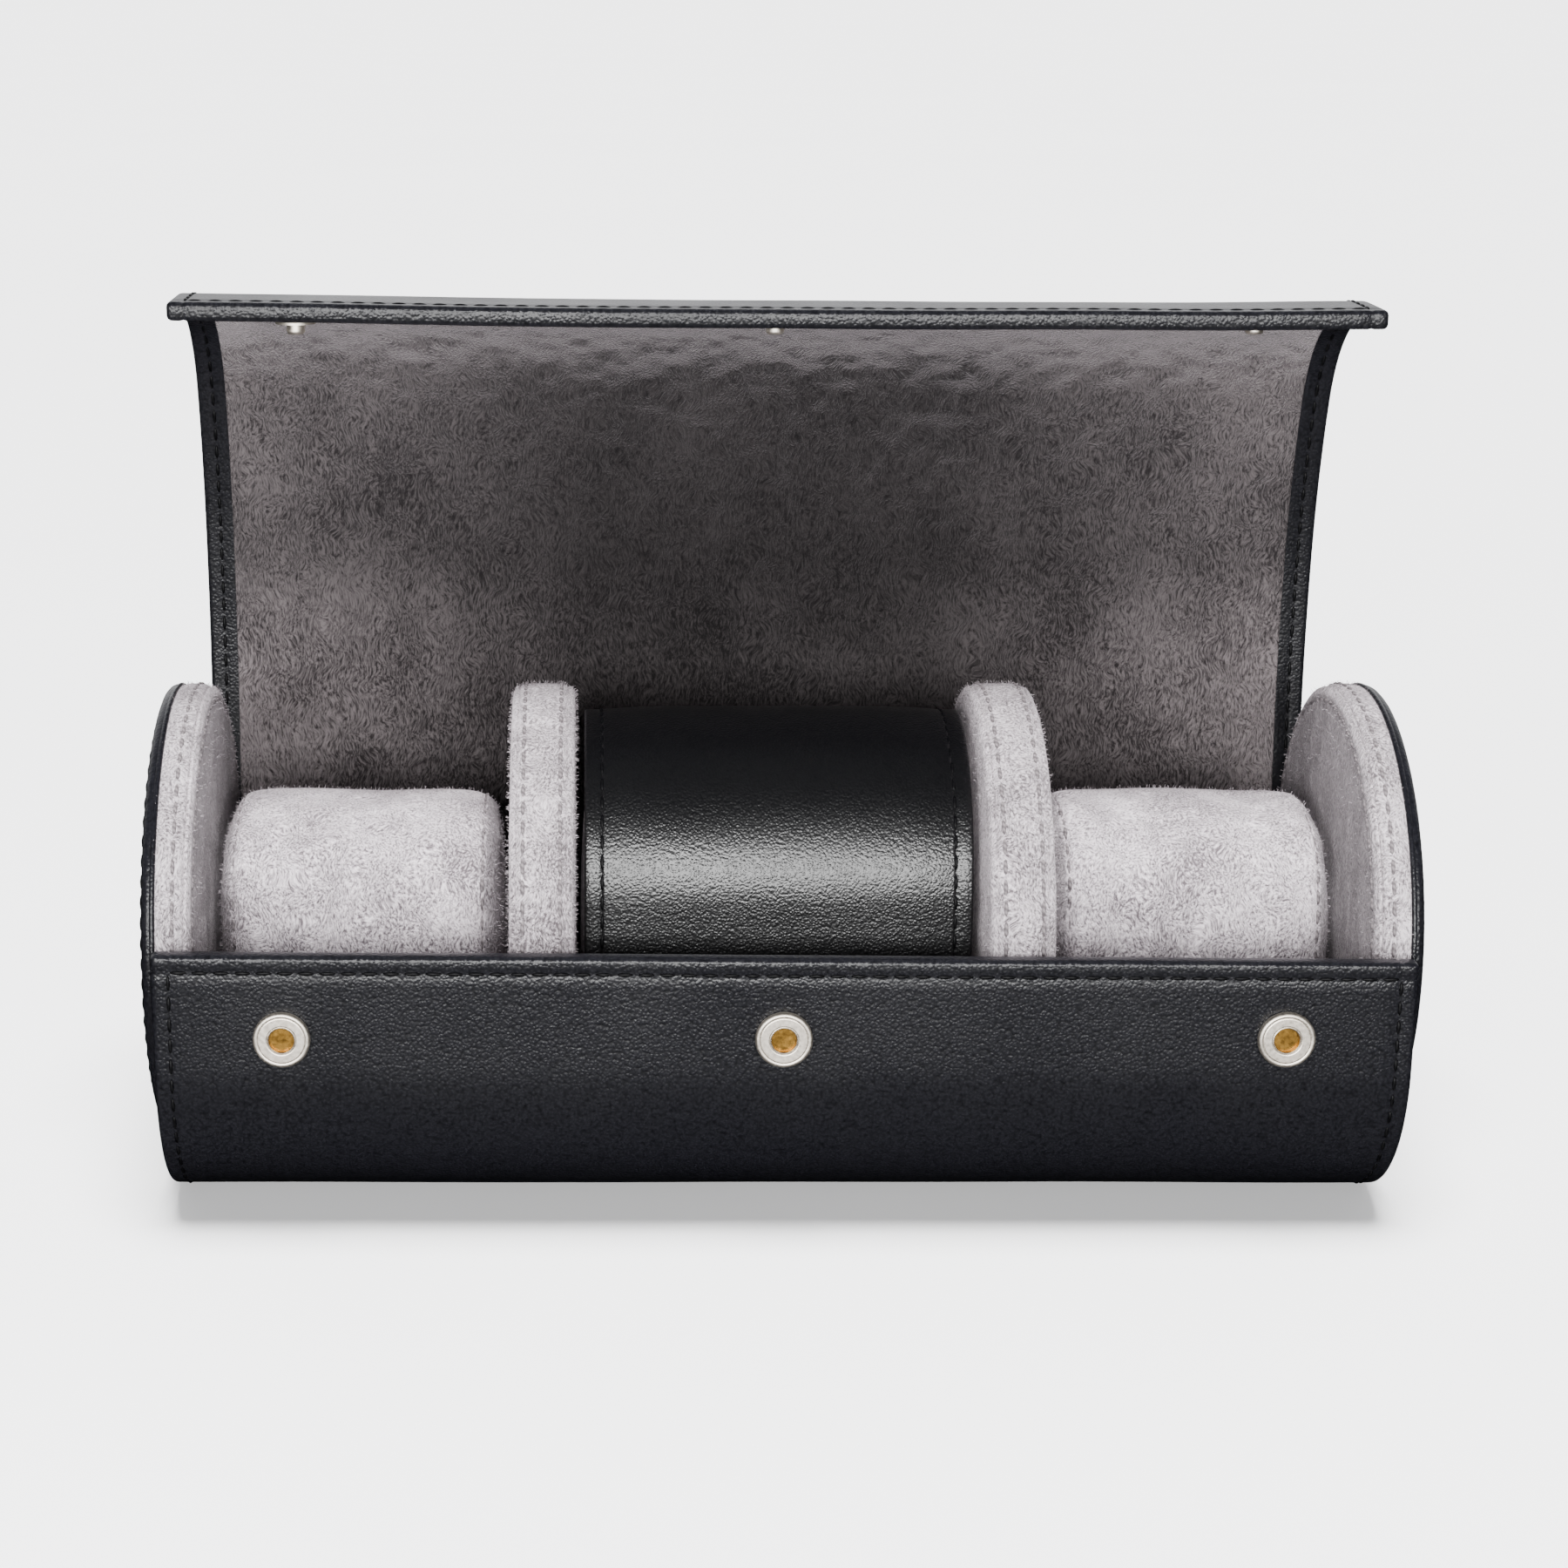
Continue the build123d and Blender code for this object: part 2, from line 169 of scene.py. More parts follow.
# %% Helpers for materials
def linear(hex_colour):
    channels = [int(hex_colour[i : i + 2], 16) / 255 for i in (1, 3, 5)]
    return tuple(c / 12.92 if c <= 0.04045 else ((c + 0.055) / 1.055) ** 2.4 for c in channels) + (1.0,)


def node(tree, kind, inputs=(), **settings):
    new = tree.nodes.new("ShaderNode" + kind)
    for key, value in settings.items():
        setattr(new, key, value)
    for socket, value in dict(inputs).items():
        if isinstance(value, bpy.types.NodeSocket):
            tree.links.new(value, new.inputs[socket])
        else:
            new.inputs[socket].default_value = value
    return new


def new_material(name):
    material = bpy.data.materials.new(name)
    material.use_nodes = True
    tree = material.node_tree
    return material, tree, tree.nodes["Principled BSDF"]


def per_size(size):
    """The scale of a pattern whose cells have this size."""
    return 1 / size


# %% [markdown]
# ## Black leather
#
# The wrap, the sleeve and the round ends' outer faces are smooth calf leather, dyed black and
# finished with a satin coat. The eye sees a grain of about 0.6 mm that softens the highlights, and
# slow changes of gloss where hands have polished it. A Voronoi cell pattern gives the grain, warped by
# noise so that it isn't regular, and a larger noise varies the gloss. The sleeve is polished brighter
# than the wrap, so one recipe makes both.

# %% Black leather materials
grain_warp = 1.6 * mm
grain_shift = 0.8 * mm
grain_depth = 0.12 * mm
handled_patch = 22 * mm


def make_leather(name, raised, sunken, specular, smoothest, roughest, grain):
    material, tree, shader = new_material(name)
    coords = node(tree, "TexCoord").outputs["Object"]
    warp = node(tree, "TexNoise", {"Vector": coords, "Scale": per_size(grain_warp), "Detail": 2.0})
    warped = node(
        tree,
        "MixRGB",
        {"Fac": grain_shift, "Color1": coords, "Color2": warp.outputs["Color"]},
        blend_type="ADD",
    )
    pebbles = node(
        tree,
        "TexVoronoi",
        {"Vector": warped.outputs["Color"], "Scale": per_size(grain), "Smoothness": 0.6},
        feature="SMOOTH_F1",
    )
    bump = node(
        tree,
        "Bump",
        {"Height": pebbles.outputs["Distance"], "Strength": 0.75, "Distance": grain_depth},
        invert=True,
    )
    handling = node(
        tree, "TexNoise", {"Vector": coords, "Scale": per_size(handled_patch), "Detail": 5.0}
    )
    gloss = node(
        tree,
        "MapRange",
        {
            "Value": handling.outputs["Fac"],
            "From Min": 0.3,
            "From Max": 0.7,
            "To Min": smoothest,
            "To Max": roughest,
        },
    )
    tone = node(tree, "ValToRGB", {"Fac": pebbles.outputs["Distance"]})
    tone.color_ramp.elements[0].color = linear(raised)
    tone.color_ramp.elements[1].color = linear(sunken)
    tree.links.new(tone.outputs["Color"], shader.inputs["Base Color"])
    tree.links.new(gloss.outputs["Result"], shader.inputs["Roughness"])
    tree.links.new(bump.outputs["Normal"], shader.inputs["Normal"])
    shader.inputs["Specular IOR Level"].default_value = specular
    return material


black_leather = make_leather("satin_calf_leather", "#131317", "#040406", 0.27, 0.3, 0.38, 0.6 * mm)
sleeve_leather = make_leather("polished_calf_leather", "#060607", "#020203", 0.6, 0.3, 0.36, 0.5 * mm)
print("made", black_leather.name, "and", sleeve_leather.name)

# %% [markdown]
# ## Grey suede
#
# The lining, the gussets, the dividers and the pillows are napped microfibre suede. Light sinks into
# its fibres, so it has no gloss, but the fibre tips catch light at the edges, which is sheen. The nap
# lies in patches brushed one way or the other, and single fibres draw short streaks. The lid's lining
# has the longer nap, so the same recipe is used with another fibre size, and with darker tones that
# are painted shade for the recess of the lid. Painted shade also darkens the tone where parts lie in
# shade: in the middle of the lid, on the inner faces of the round ends and on the pillows' end panels.
# An attribute of each piece says where.
# Real fibres are far too fine to show in the picture, so the pattern draws tufts of about 0.4 mm.


# %% Suede materials
lay_size = 7 * mm
lay_shift = 6 * mm
fibre_turn = (0.4, 0.3, 0.5)
patch_share = 0.24
dark_below, light_above = 0.4, 0.6


def make_suede(name, dark, light, shaded_tone, fibre, streak, patch, depth):
    material, tree, shader = new_material(name)
    coords = node(tree, "TexCoord").outputs["Object"]
    lay = node(tree, "TexNoise", {"Vector": coords, "Scale": per_size(lay_size), "Detail": 1.0})
    brushed = node(
        tree,
        "MixRGB",
        {"Fac": lay_shift, "Color1": coords, "Color2": lay.outputs["Color"]},
        blend_type="ADD",
    )
    stretched = node(
        tree,
        "Mapping",
        {
            "Vector": brushed.outputs["Color"],
            "Rotation": fibre_turn,
            "Scale": (1, 1, fibre / streak),
        },
    )
    fibres = node(
        tree,
        "TexNoise",
        {
            "Vector": stretched.outputs["Vector"],
            "Scale": per_size(fibre),
            "Detail": 3.0,
            "Roughness": 0.7,
        },
    )
    patches = node(tree, "TexNoise", {"Vector": coords, "Scale": per_size(patch), "Detail": 3.0})
    nap = node(
        tree,
        "MixRGB",
        {"Fac": patch_share, "Color1": fibres.outputs["Fac"], "Color2": patches.outputs["Fac"]},
    )
    tone = node(tree, "ValToRGB", {"Fac": nap.outputs["Color"]})
    tone.color_ramp.elements[0].position = dark_below
    tone.color_ramp.elements[0].color = linear(dark)
    tone.color_ramp.elements[1].position = light_above
    tone.color_ramp.elements[1].color = linear(light)
    bump = node(tree, "Bump", {"Height": fibres.outputs["Fac"], "Strength": 1.0, "Distance": depth})
    # Painted shade: an attribute of the piece multiplies the tone down where the piece lies in shade.
    shade_share = node(tree, "Attribute", attribute_name="painted_shade")
    shade_painted = node(
        tree,
        "MixRGB",
        {"Fac": shade_share.outputs["Fac"], "Color1": tone.outputs["Color"], "Color2": (shaded_tone, shaded_tone, shaded_tone, 1)},
        blend_type="MULTIPLY",
    )
    tree.links.new(shade_painted.outputs["Color"], shader.inputs["Base Color"])
    tree.links.new(bump.outputs["Normal"], shader.inputs["Normal"])
    shader.inputs["Roughness"].default_value = 0.95
    shader.inputs["Specular IOR Level"].default_value = 0.15
    shader.inputs["Sheen Weight"].default_value = 0.35
    shader.inputs["Sheen Roughness"].default_value = 0.4
    shader.inputs["Sheen Tint"].default_value = linear("#d8cfd3")
    return material


def paint_shade(piece, share):
    """Say how much painted shade darkens each vertex, from 0 to 1."""
    values = [min(1.0, max(0.0, share(vertex.co))) for vertex in piece.data.vertices]
    piece.data.attributes.new("painted_shade", "FLOAT", "POINT").data.foreach_set("value", values)


# The number after the two tones is how far painted shade darkens the tone.
pale_suede = make_suede(
    "short_nap_suede", "#4b4548", "#b6aeb2", 0.42, 0.45 * mm, 0.8 * mm, 12 * mm, 0.6 * mm
)
pillow_suede = make_suede(
    "brushed_suede", "#585155", "#cdc4c9", 0.5, 0.45 * mm, 0.8 * mm, 12 * mm, 0.6 * mm
)
# The lining's tones are darker than the other suede's: painted shade for the recess of the lid.
lining_suede = make_suede(
    "long_nap_suede", "#282425", "#6e6768", 0.1, 0.4 * mm, 1.7 * mm, 20 * mm, 0.5 * mm
)
print("made", pale_suede.name, pillow_suede.name, lining_suede.name)

# %% [markdown]
# ## Thread, nickel and brass
#
# The stitches are bonded polyester thread with a faint twist. The snaps are nickel-plated brass: the
# outside is bright with a slightly worn, uneven gloss, and the spring and the inside stay brass. Twist
# and wear are drawn coarser than they are, because their real size would not show.

# %% Thread and metal materials
twist_size = 2.4 * mm
wear_size = 0.7 * mm


def make_thread(name, colour, lit):
    material, tree, shader = new_material(name)
    coords = node(tree, "TexCoord").outputs["Object"]
    twist = node(
        tree,
        "TexWave",
        {"Vector": coords, "Scale": per_size(twist_size), "Distortion": 1.0},
        bands_direction="DIAGONAL",
    )
    tone = node(tree, "ValToRGB", {"Fac": twist.outputs["Fac"]})
    tone.color_ramp.elements[0].color = linear(colour)
    tone.color_ramp.elements[1].color = linear(lit)
    tree.links.new(tone.outputs["Color"], shader.inputs["Base Color"])
    shader.inputs["Roughness"].default_value = 0.5
    shader.inputs["Specular IOR Level"].default_value = 0.12
    return material


def make_metal(name, dark, light, roughness):
    material, tree, shader = new_material(name)
    coords = node(tree, "TexCoord").outputs["Object"]
    wear = node(tree, "TexNoise", {"Vector": coords, "Scale": per_size(wear_size), "Detail": 4.0})
    tone = node(tree, "ValToRGB", {"Fac": wear.outputs["Fac"]})
    tone.color_ramp.elements[0].color = linear(dark)
    tone.color_ramp.elements[1].color = linear(light)
    gloss = node(
        tree,
        "MapRange",
        {"Value": wear.outputs["Fac"], "To Min": roughness * 0.7, "To Max": roughness * 1.4},
    )
    tree.links.new(tone.outputs["Color"], shader.inputs["Base Color"])
    tree.links.new(gloss.outputs["Result"], shader.inputs["Roughness"])
    shader.inputs["Metallic"].default_value = 1.0
    return material


black_thread = make_thread("black_polyester_thread", "#020203", "#070708")
grey_thread = make_thread("grey_polyester_thread", "#4a4547", "#6d6769")
nickel = make_metal("plated_nickel", "#c4bbae", "#f0e8dc", 0.45)
# The brass tones are darker than bright brass: painted shade for the insides of the snaps' holes, where
# the brass sits.
brass = make_metal("brass_in_painted_shade", "#7a5824", "#b98f48", 0.35)
print("made", black_thread.name, grey_thread.name, nickel.name, brass.name)

# %% [markdown]
# ## Dressing a piece
#
# Each finished piece gets its material, the CAD nodes it hides, and the body it moves with.


# %% Helper that dresses a piece
def dress(piece, material, body=None, hides=()):
    piece.data.materials.clear()
    piece.data.materials.append(material)
    if hides:
        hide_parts(*hides)
    if body:
        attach(piece, body)
    return piece


# %% [markdown]
# ## The course of the wrap
#
# Seen from the side, the wrap is a line of straight runs and arcs: down the flap, round the front
# corner, along the flat bottom, up the leaning back and over the top. A place on it is a point and a
# heading, and each run is a length and a turn. The whole sheet can be walked from the flap's edge.

# %% Sizes and runs of the wrap
flap_low, flap_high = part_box("flap_leather")
case_low, case_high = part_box("case_leather")
wrap_thick = 3.7 * mm
half_width = case_high.x
corner_radius = 30 * mm
bottom_half = 17.05 * mm
back_length = 21.33 * mm
back_turn = math.radians(80)
bend_radius = 30 * mm
lid_flat = 15 * mm
quarter_turn = math.radians(90)


def arc_run(radius, turn):
    return (radius * turn, turn)


def follow(place, run):
    """Where a run ends. A place is (y, z, heading)."""
    y, z, heading = place
    length, turn = run
    if turn == 0:
        return (y + length * math.cos(heading), z + length * math.sin(heading), heading)
    radius = length / turn
    end = heading + turn
    return (
        y + radius * (math.sin(end) - math.sin(heading)),
        z - radius * (math.cos(end) - math.cos(heading)),
        end,
    )


flap_run = (flap_high.z - case_low.z - wrap_thick - corner_radius, 0)
half_corner = arc_run(corner_radius, quarter_turn / 2)
bottom_run = (bottom_half, 0)
half_lower = (15 * mm, math.radians(4))
half_panel = (18 * mm, math.radians(4))
half_upper = (15.5 * mm, math.radians(7))
bend_before_fold = arc_run(bend_radius, math.radians(46))
bend_after_fold = arc_run(bend_radius, math.radians(24))
wrap_start = (flap_low.y + wrap_thick, flap_high.z, -quarter_turn)
print("flap starts at", wrap_start)

# %% [markdown]
# ## Five lengths of wrap
#
# The lid folds, so the wrap is modelled in five lengths. Each crosses one fold and ends in the middle
# of a panel. A length lists its runs before and after its fold, how far the bend spreads to each side
# of it, and the two bodies that it joins.

# %% The five lengths
flap_reach = (5 * mm, 5 * mm)
back_reach = (24 * mm, 13 * mm)
lid_reach = (6 * mm, 6 * mm)
lengths = {
    "flap_wrap": {
        "before": [flap_run, half_corner],
        "after": [half_corner, bottom_run],
        "reach": flap_reach,
        "bodies": ("front_flap", "case"),
        "hides": ("flap",),
    },
    "back_wrap": {
        "before": [bottom_run, arc_run(corner_radius, back_turn), (back_length, 0)],
        "after": [half_lower],
        "reach": back_reach,
        "bodies": ("case", "lid_lower"),
        "hides": ("case",),
    },
    "lower_wrap": {
        "before": [half_lower],
        "after": [half_panel],
        "reach": lid_reach,
        "bodies": ("lid_lower", "lid_middle"),
        "hides": ("lid_lower",),
    },
    "middle_wrap": {
        "before": [half_panel],
        "after": [half_upper],
        "reach": lid_reach,
        "bodies": ("lid_middle", "lid_upper"),
        "hides": ("lid_middle",),
    },
    "front_wrap": {
        "before": [half_upper, bend_before_fold],
        "after": [bend_after_fold, (lid_flat, 0)],
        "reach": lid_reach,
        "bodies": ("lid_upper", "lid_front"),
        "hides": ("lid_upper", "lid_front"),
    },
}
place = wrap_start
for length in lengths.values():
    length["start"] = place
    for run in length["before"]:
        place = follow(place, run)
    length["fold"] = place
    for run in length["after"]:
        place = follow(place, run)
    length["end"] = place
lid_edge = place
print("lid ends at", lid_edge)

# %% [markdown]
# ## Sweeping a sheet
#
# A row of edges across the case is all that is needed: extruded along the straight runs and spun
# round the arcs, it leaves the sheet behind it. A grid would have to be bent afterwards. Rows lie
# close together beside a free edge, because the seam's groove is pressed in there later.

# %% Helpers that sweep a sheet
column_count = 40
seam_inset = 3.2 * mm
groove_half = 0.6 * mm
border = 2 * half_width / column_count
row_step = 3 * mm
arc_step = math.radians(3)


def start_row(name, width, columns, place):
    deselect_all()
    bpy.ops.mesh.primitive_grid_add(x_subdivisions=columns, y_subdivisions=1, size=1)
    sheet = bpy.context.object
    sheet.name = name
    pick(sheet, "VERT", lambda v: v.co.y > 0)
    bpy.ops.mesh.delete(type="VERT")
    bpy.ops.mesh.select_all(action="SELECT")
    bpy.ops.transform.resize(value=(width, 1, 1))
    bpy.ops.transform.translate(value=(0, place[0] + 0.5, place[1]))
    return sheet


def even_steps(length):
    count = max(1, round(length / row_step))
    return [length / count] * count


def edge_steps(length, facing):
    """Steps of a straight run that starts at a free edge."""
    near = [seam_inset - groove_half, groove_half, groove_half]
    turned = facing - sum(near)
    rest = length - facing
    return near + even_steps(turned) + even_steps(rest)


def sweep(place, run, steps=None):
    """Carry the selected row along one run, and give the place where it ends."""
    y, z, heading = place
    length, turn = run
    steps = steps or even_steps(length)
    if turn == 0:
        for step in steps:
            move = (0, step * math.cos(heading), step * math.sin(heading))
            bpy.ops.mesh.extrude_region_move(TRANSFORM_OT_translate={"value": move})
    else:
        radius = length / turn
        centre = (0, y - radius * math.sin(heading), z + radius * math.cos(heading))
        count = max(len(steps), math.ceil(abs(turn) / arc_step))
        bpy.ops.mesh.spin(steps=count, angle=-turn, center=centre, axis=(1, 0, 0))
    return follow(place, run)


# %% [markdown]
# ## From sheet to stitched leather
#
# The swept sheet is the inner face. Solidify gives it the thickness of leather, board and lining
# together, a bevel rounds the turned edges, and bisect cuts three lines on each side where the seam
# runs: pushing the middle line in makes the groove that the thread pulls. The inside is sunk between
# the turned borders, and a copy of the sunk floor becomes the suede lining. At a cut end the step is
# merged away, and leather and lining lap a little into the next length.

# %% Helpers for the leather's edges
heart = Vector((0, -5 * mm, 100 * mm))
edge_round = 1.0 * mm
groove_depth = 0.18 * mm
lining_sink = 0.6 * mm
lining_thick = 0.45 * mm
near_zero = 0.02 * mm
near_line = 0.3 * mm
lining_overlap = 0.3 * mm
leather_overlap = 0.06 * mm
merge_distance = 0.005 * mm
cut_near = 1.2 * mm
cut_slack = 0.5 * mm
wrap_wave = (0.22 * mm, 38 * mm)


def course(place):
    """The direction in which the wrap runs at a place."""
    return Vector((0, math.cos(place[2]), math.sin(place[2])))


def faces_in(vertex, centre=heart):
    """True on the inner face of a sheet that bends round a centre."""
    to_centre = centre - vertex.co
    to_centre.x = 0
    return vertex.normal.dot(to_centre) > 0


def cut_lines(piece, positions):
    pick(piece, "FACE", lambda face: True)
    for x in positions:
        bpy.ops.mesh.select_all(action="SELECT")
        bpy.ops.mesh.bisect(plane_co=(x, 0, 0), plane_no=(1, 0, 0))
    bpy.ops.object.mode_set(mode="OBJECT")


def turn_outwards(piece, centre):
    """Make a swept sheet's normals point away from a centre."""
    face = piece.data.polygons[0]
    to_centre = centre - face.center
    to_centre.x = 0
    if face.normal.dot(to_centre) > 0:
        pick(piece, "FACE", lambda face: True)
        bpy.ops.mesh.flip_normals()
        bpy.ops.object.mode_set(mode="OBJECT")


def ripple(piece, height, spacing):
    """Small slow waves, as a glued sheet has."""
    for vertex in piece.data.vertices:
        vertex.co += vertex.normal * height * noise.noise(vertex.co / spacing)


# %% [markdown]
# ## Building one length of wrap
#
# One function makes a length: sweep, thicken, round, groove, sink and line. A free edge is given as a
# test, so the flap and the lid's front get their turned edges, and the cut ends stay square.


# %% Helpers that build a length
def sweep_length(name, length, facing, free_first, free_last):
    sheet = start_row(name, 2 * half_width, column_count, length["start"])
    place = length["start"]
    runs = length["before"] + length["after"]
    for number, run in enumerate(runs):
        steps = None
        if free_first and number == 0:
            steps = edge_steps(run[0], facing)
        if free_last and number == len(runs) - 1:
            steps = edge_steps(run[0], facing)[::-1]
        place = sweep(place, run, steps)
    bpy.ops.object.mode_set(mode="OBJECT")
    turn_outwards(sheet, heart)
    ripple(sheet, *wrap_wave)
    apply_modifier(sheet, "SOLIDIFY", thickness=wrap_thick, offset=1, use_even_offset=True)
    return sheet


def round_edges(leather, at_free_edge):
    def turned(a, b):
        at_side = min(abs(a.co.x), abs(b.co.x)) > half_width - near_line
        along = faces_in(a) == faces_in(b)
        at_edge = at_free_edge(a.co) and at_free_edge(b.co)
        across_edge = at_edge and (abs(a.co.x - b.co.x) > near_zero or at_side)
        return (at_side and along) or across_edge

    round_off(leather, turned, edge_round, 4)


def press_grooves(leather, on_edge_seam):
    seam_x = half_width - seam_inset
    offsets = (-groove_half, 0, groove_half)
    cut_lines(leather, [side * (seam_x + offset) for side in (-1, 1) for offset in offsets])

    def pull_in(vertex):
        if abs(abs(vertex.co.x) - seam_x) < near_zero or on_edge_seam(vertex.co):
            return vertex.normal * -groove_depth

    shift_vertices(leather, pull_in)


def sink_lining(name, leather, behind_facing, cut_ends):
    """Sink the inner face between its borders, and copy the sunk floor as the lining."""

    def by_end(co, end, distance=cut_near):
        return math.hypot(co.y - end[0], co.z - end[1]) < distance

    def end_wall(face):
        walls = [end for end, onwards in cut_ends if by_end(face.center, end, wrap_thick)]
        return any(abs(face.normal.dot(course(end))) > 0.7 for end in walls)

    def inside(face):
        to_heart = heart - face.center
        facing_in = face.normal.dot(to_heart) > 0 and abs(face.normal.x) < 0.5 and not end_wall(face)
        return facing_in and abs(face.center.x) < half_width - border and behind_facing(face.center)

    def at_cut_end(co):
        inside_border = abs(co.x) < half_width - border - near_zero
        return inside_border and any(by_end(co, end) for end, onwards in cut_ends)

    pick(leather, "FACE", inside)
    bpy.ops.mesh.extrude_region_move(TRANSFORM_OT_translate={"value": (0, 0, 0)})
    bpy.ops.object.mode_set(mode="OBJECT")
    sunk = {}
    for face in leather.data.polygons:
        if face.select:
            for index in face.vertices:
                key = leather.data.vertices[index].co.copy().freeze()
                sunk[key] = sunk.get(key, Vector()) + face.normal
    for vertex in leather.data.vertices:
        key = vertex.co.copy().freeze()
        if key in sunk and (vertex.select or at_cut_end(vertex.co)):
            vertex.co -= sunk[key].normalized() * lining_sink
    bpy.ops.object.mode_set(mode="EDIT")
    lining = separate_copy()
    lining.name = name
    bpy.ops.mesh.select_all(action="SELECT")
    bpy.ops.mesh.remove_doubles(threshold=merge_distance)
    bpy.ops.object.mode_set(mode="OBJECT")
    for end, onwards in cut_ends:
        for vertex in lining.data.vertices:
            if by_end(vertex.co, end):
                vertex.co += course(end) * onwards * lining_overlap
        for vertex in leather.data.vertices:
            past = (vertex.co - Vector((0, end[0], end[1]))).dot(course(end))
            if abs(past) < cut_slack and by_end(vertex.co, end, 1.5 * wrap_thick):
                vertex.co += course(end) * onwards * leather_overlap
    apply_modifier(lining, "SOLIDIFY", thickness=lining_thick, offset=1)
    return lining


# %% [markdown]
# ## Stitches
#
# A stitch is a short thread with its ends pulled into the leather, so a stretched little ball will do.
# It is modelled once. An Array modifier repeats it in a straight line and a Curve modifier bends that
# line along the seam, whose path is copied off the groove's own edges, so that it always lies in it.

# %% Helpers that sew
stitch_pitch = 3.9 * mm
stitch_length = 3.1 * mm
stitch_width = 0.85 * mm


def lift_path(piece, test):
    """Copy a chain of edges off a piece as a curve."""
    pick(piece, "EDGE", test)
    path = separate_copy()
    make_active(path)
    bpy.ops.object.convert(target="CURVE")
    return bpy.context.object


def sew_along(path):
    total = path.data.splines[0].calc_length()
    count = max(1, round(total / stitch_pitch))
    step = total / count
    deselect_all()
    bpy.ops.mesh.primitive_uv_sphere_add(segments=8, ring_count=6, radius=0.5)
    row = bpy.context.object
    row.name = "seam"
    bpy.ops.object.mode_set(mode="EDIT")
    bpy.ops.mesh.select_all(action="SELECT")
    bpy.ops.transform.resize(value=(stitch_length * step / stitch_pitch, stitch_width, stitch_width))
    bpy.ops.transform.translate(value=(step / 2, 0, 0))
    bpy.ops.object.mode_set(mode="OBJECT")
    apply_modifier(
        row,
        "ARRAY",
        count=count,
        use_relative_offset=False,
        use_constant_offset=True,
        constant_offset_displace=(step, 0, 0),
    )
    apply_modifier(row, "CURVE", object=path, deform_axis="POS_X")
    bpy.data.objects.remove(path)
    shade(row, soft_angle)
    return row


def sew_both_faces(leather, on_line):
    """Rows of stitches along a line of the outer face and of the inner one."""
    rows = []
    for inner in (False, True):

        def on_seam(a, b):
            return all(on_line(v.co) and faces_in(v) == inner for v in (a, b))

        rows.append(sew_along(lift_path(leather, on_seam)))
    return rows


def side_seams(leather, limit):
    rows = []
    for seam_x in (seam_inset - half_width, half_width - seam_inset):
        rows += sew_both_faces(leather, lambda co: abs(co.x - seam_x) < near_zero and limit(co))
    return rows


def edge_seams(leather, on_edge_seam):
    within = half_width - seam_inset + near_zero
    return sew_both_faces(leather, lambda co: on_edge_seam(co) and abs(co.x) < within)


# %% [markdown]
# ## The wrap stands a little askew
#
# The flap and the lid of the real case stand slightly higher on the left, and the lid's top sags a
# little in its middle. Moving each vertex by a small lean and sag that grow with the height gives the
# same, and keeps the model from looking drawn with a ruler.

# %% Lean of the wrap
lean_rise = 0.9 * mm
lean_from, lean_to = 25 * mm, 60 * mm
sag_depth = 0.7 * mm
sag_from, sag_to = 110 * mm, 165 * mm


def lean(piece):
    for vertex in piece.data.vertices:
        share = min(1.0, max(0.0, (vertex.co.z - lean_from) / (lean_to - lean_from)))
        side = vertex.co.x / half_width
        vertex.co.z -= lean_rise * share * side
        share = min(1.0, max(0.0, (vertex.co.z - sag_from) / (sag_to - sag_from)))
        vertex.co.z -= sag_depth * share * (1 - side**2)


# %% [markdown]
# ## Making the five lengths
#
# The flap has its free edge at the start of its course and the lid's front at the end. The tests
# below say where those edges, their seams and the borders of the lining are.

# %% Build, sew and dress the wrap
flap_facing = border
lid_facing = 14 * mm


def edge_rules(depth, facing):
    """Tests on how deep behind a free edge a point lies."""
    return {
        "edge": lambda co: depth(co) < near_line,
        "seam": lambda co: abs(depth(co) - seam_inset) < near_line,
        "behind": lambda co: depth(co) > facing,
        "sewn": lambda co: depth(co) > seam_inset - near_line,
        "facing": facing,
    }


free_edges = {
    "flap_wrap": edge_rules(lambda co: flap_high.z - co.z, flap_facing),
    "front_wrap": edge_rules(lambda co: co.y - lid_edge[0], lid_facing),
}
plain_edges = edge_rules(lambda co: math.inf, 0)
shade_side_from, shade_side_over = 0.3, 0.6
shade_low_from, shade_low_over = 110 * mm, 32 * mm


def lining_painted_shade(co):
    """Painted shade: darkest in the middle of the lid, lighter towards its sides and low down."""
    side = min(1.0, max(0.0, (abs(co.x) / half_width - shade_side_from) / shade_side_over))
    low = min(1.0, max(0.0, (shade_low_from - co.z) / shade_low_over))
    return 1 - 0.2 * low - side * (0.3 + 0.5 * low)


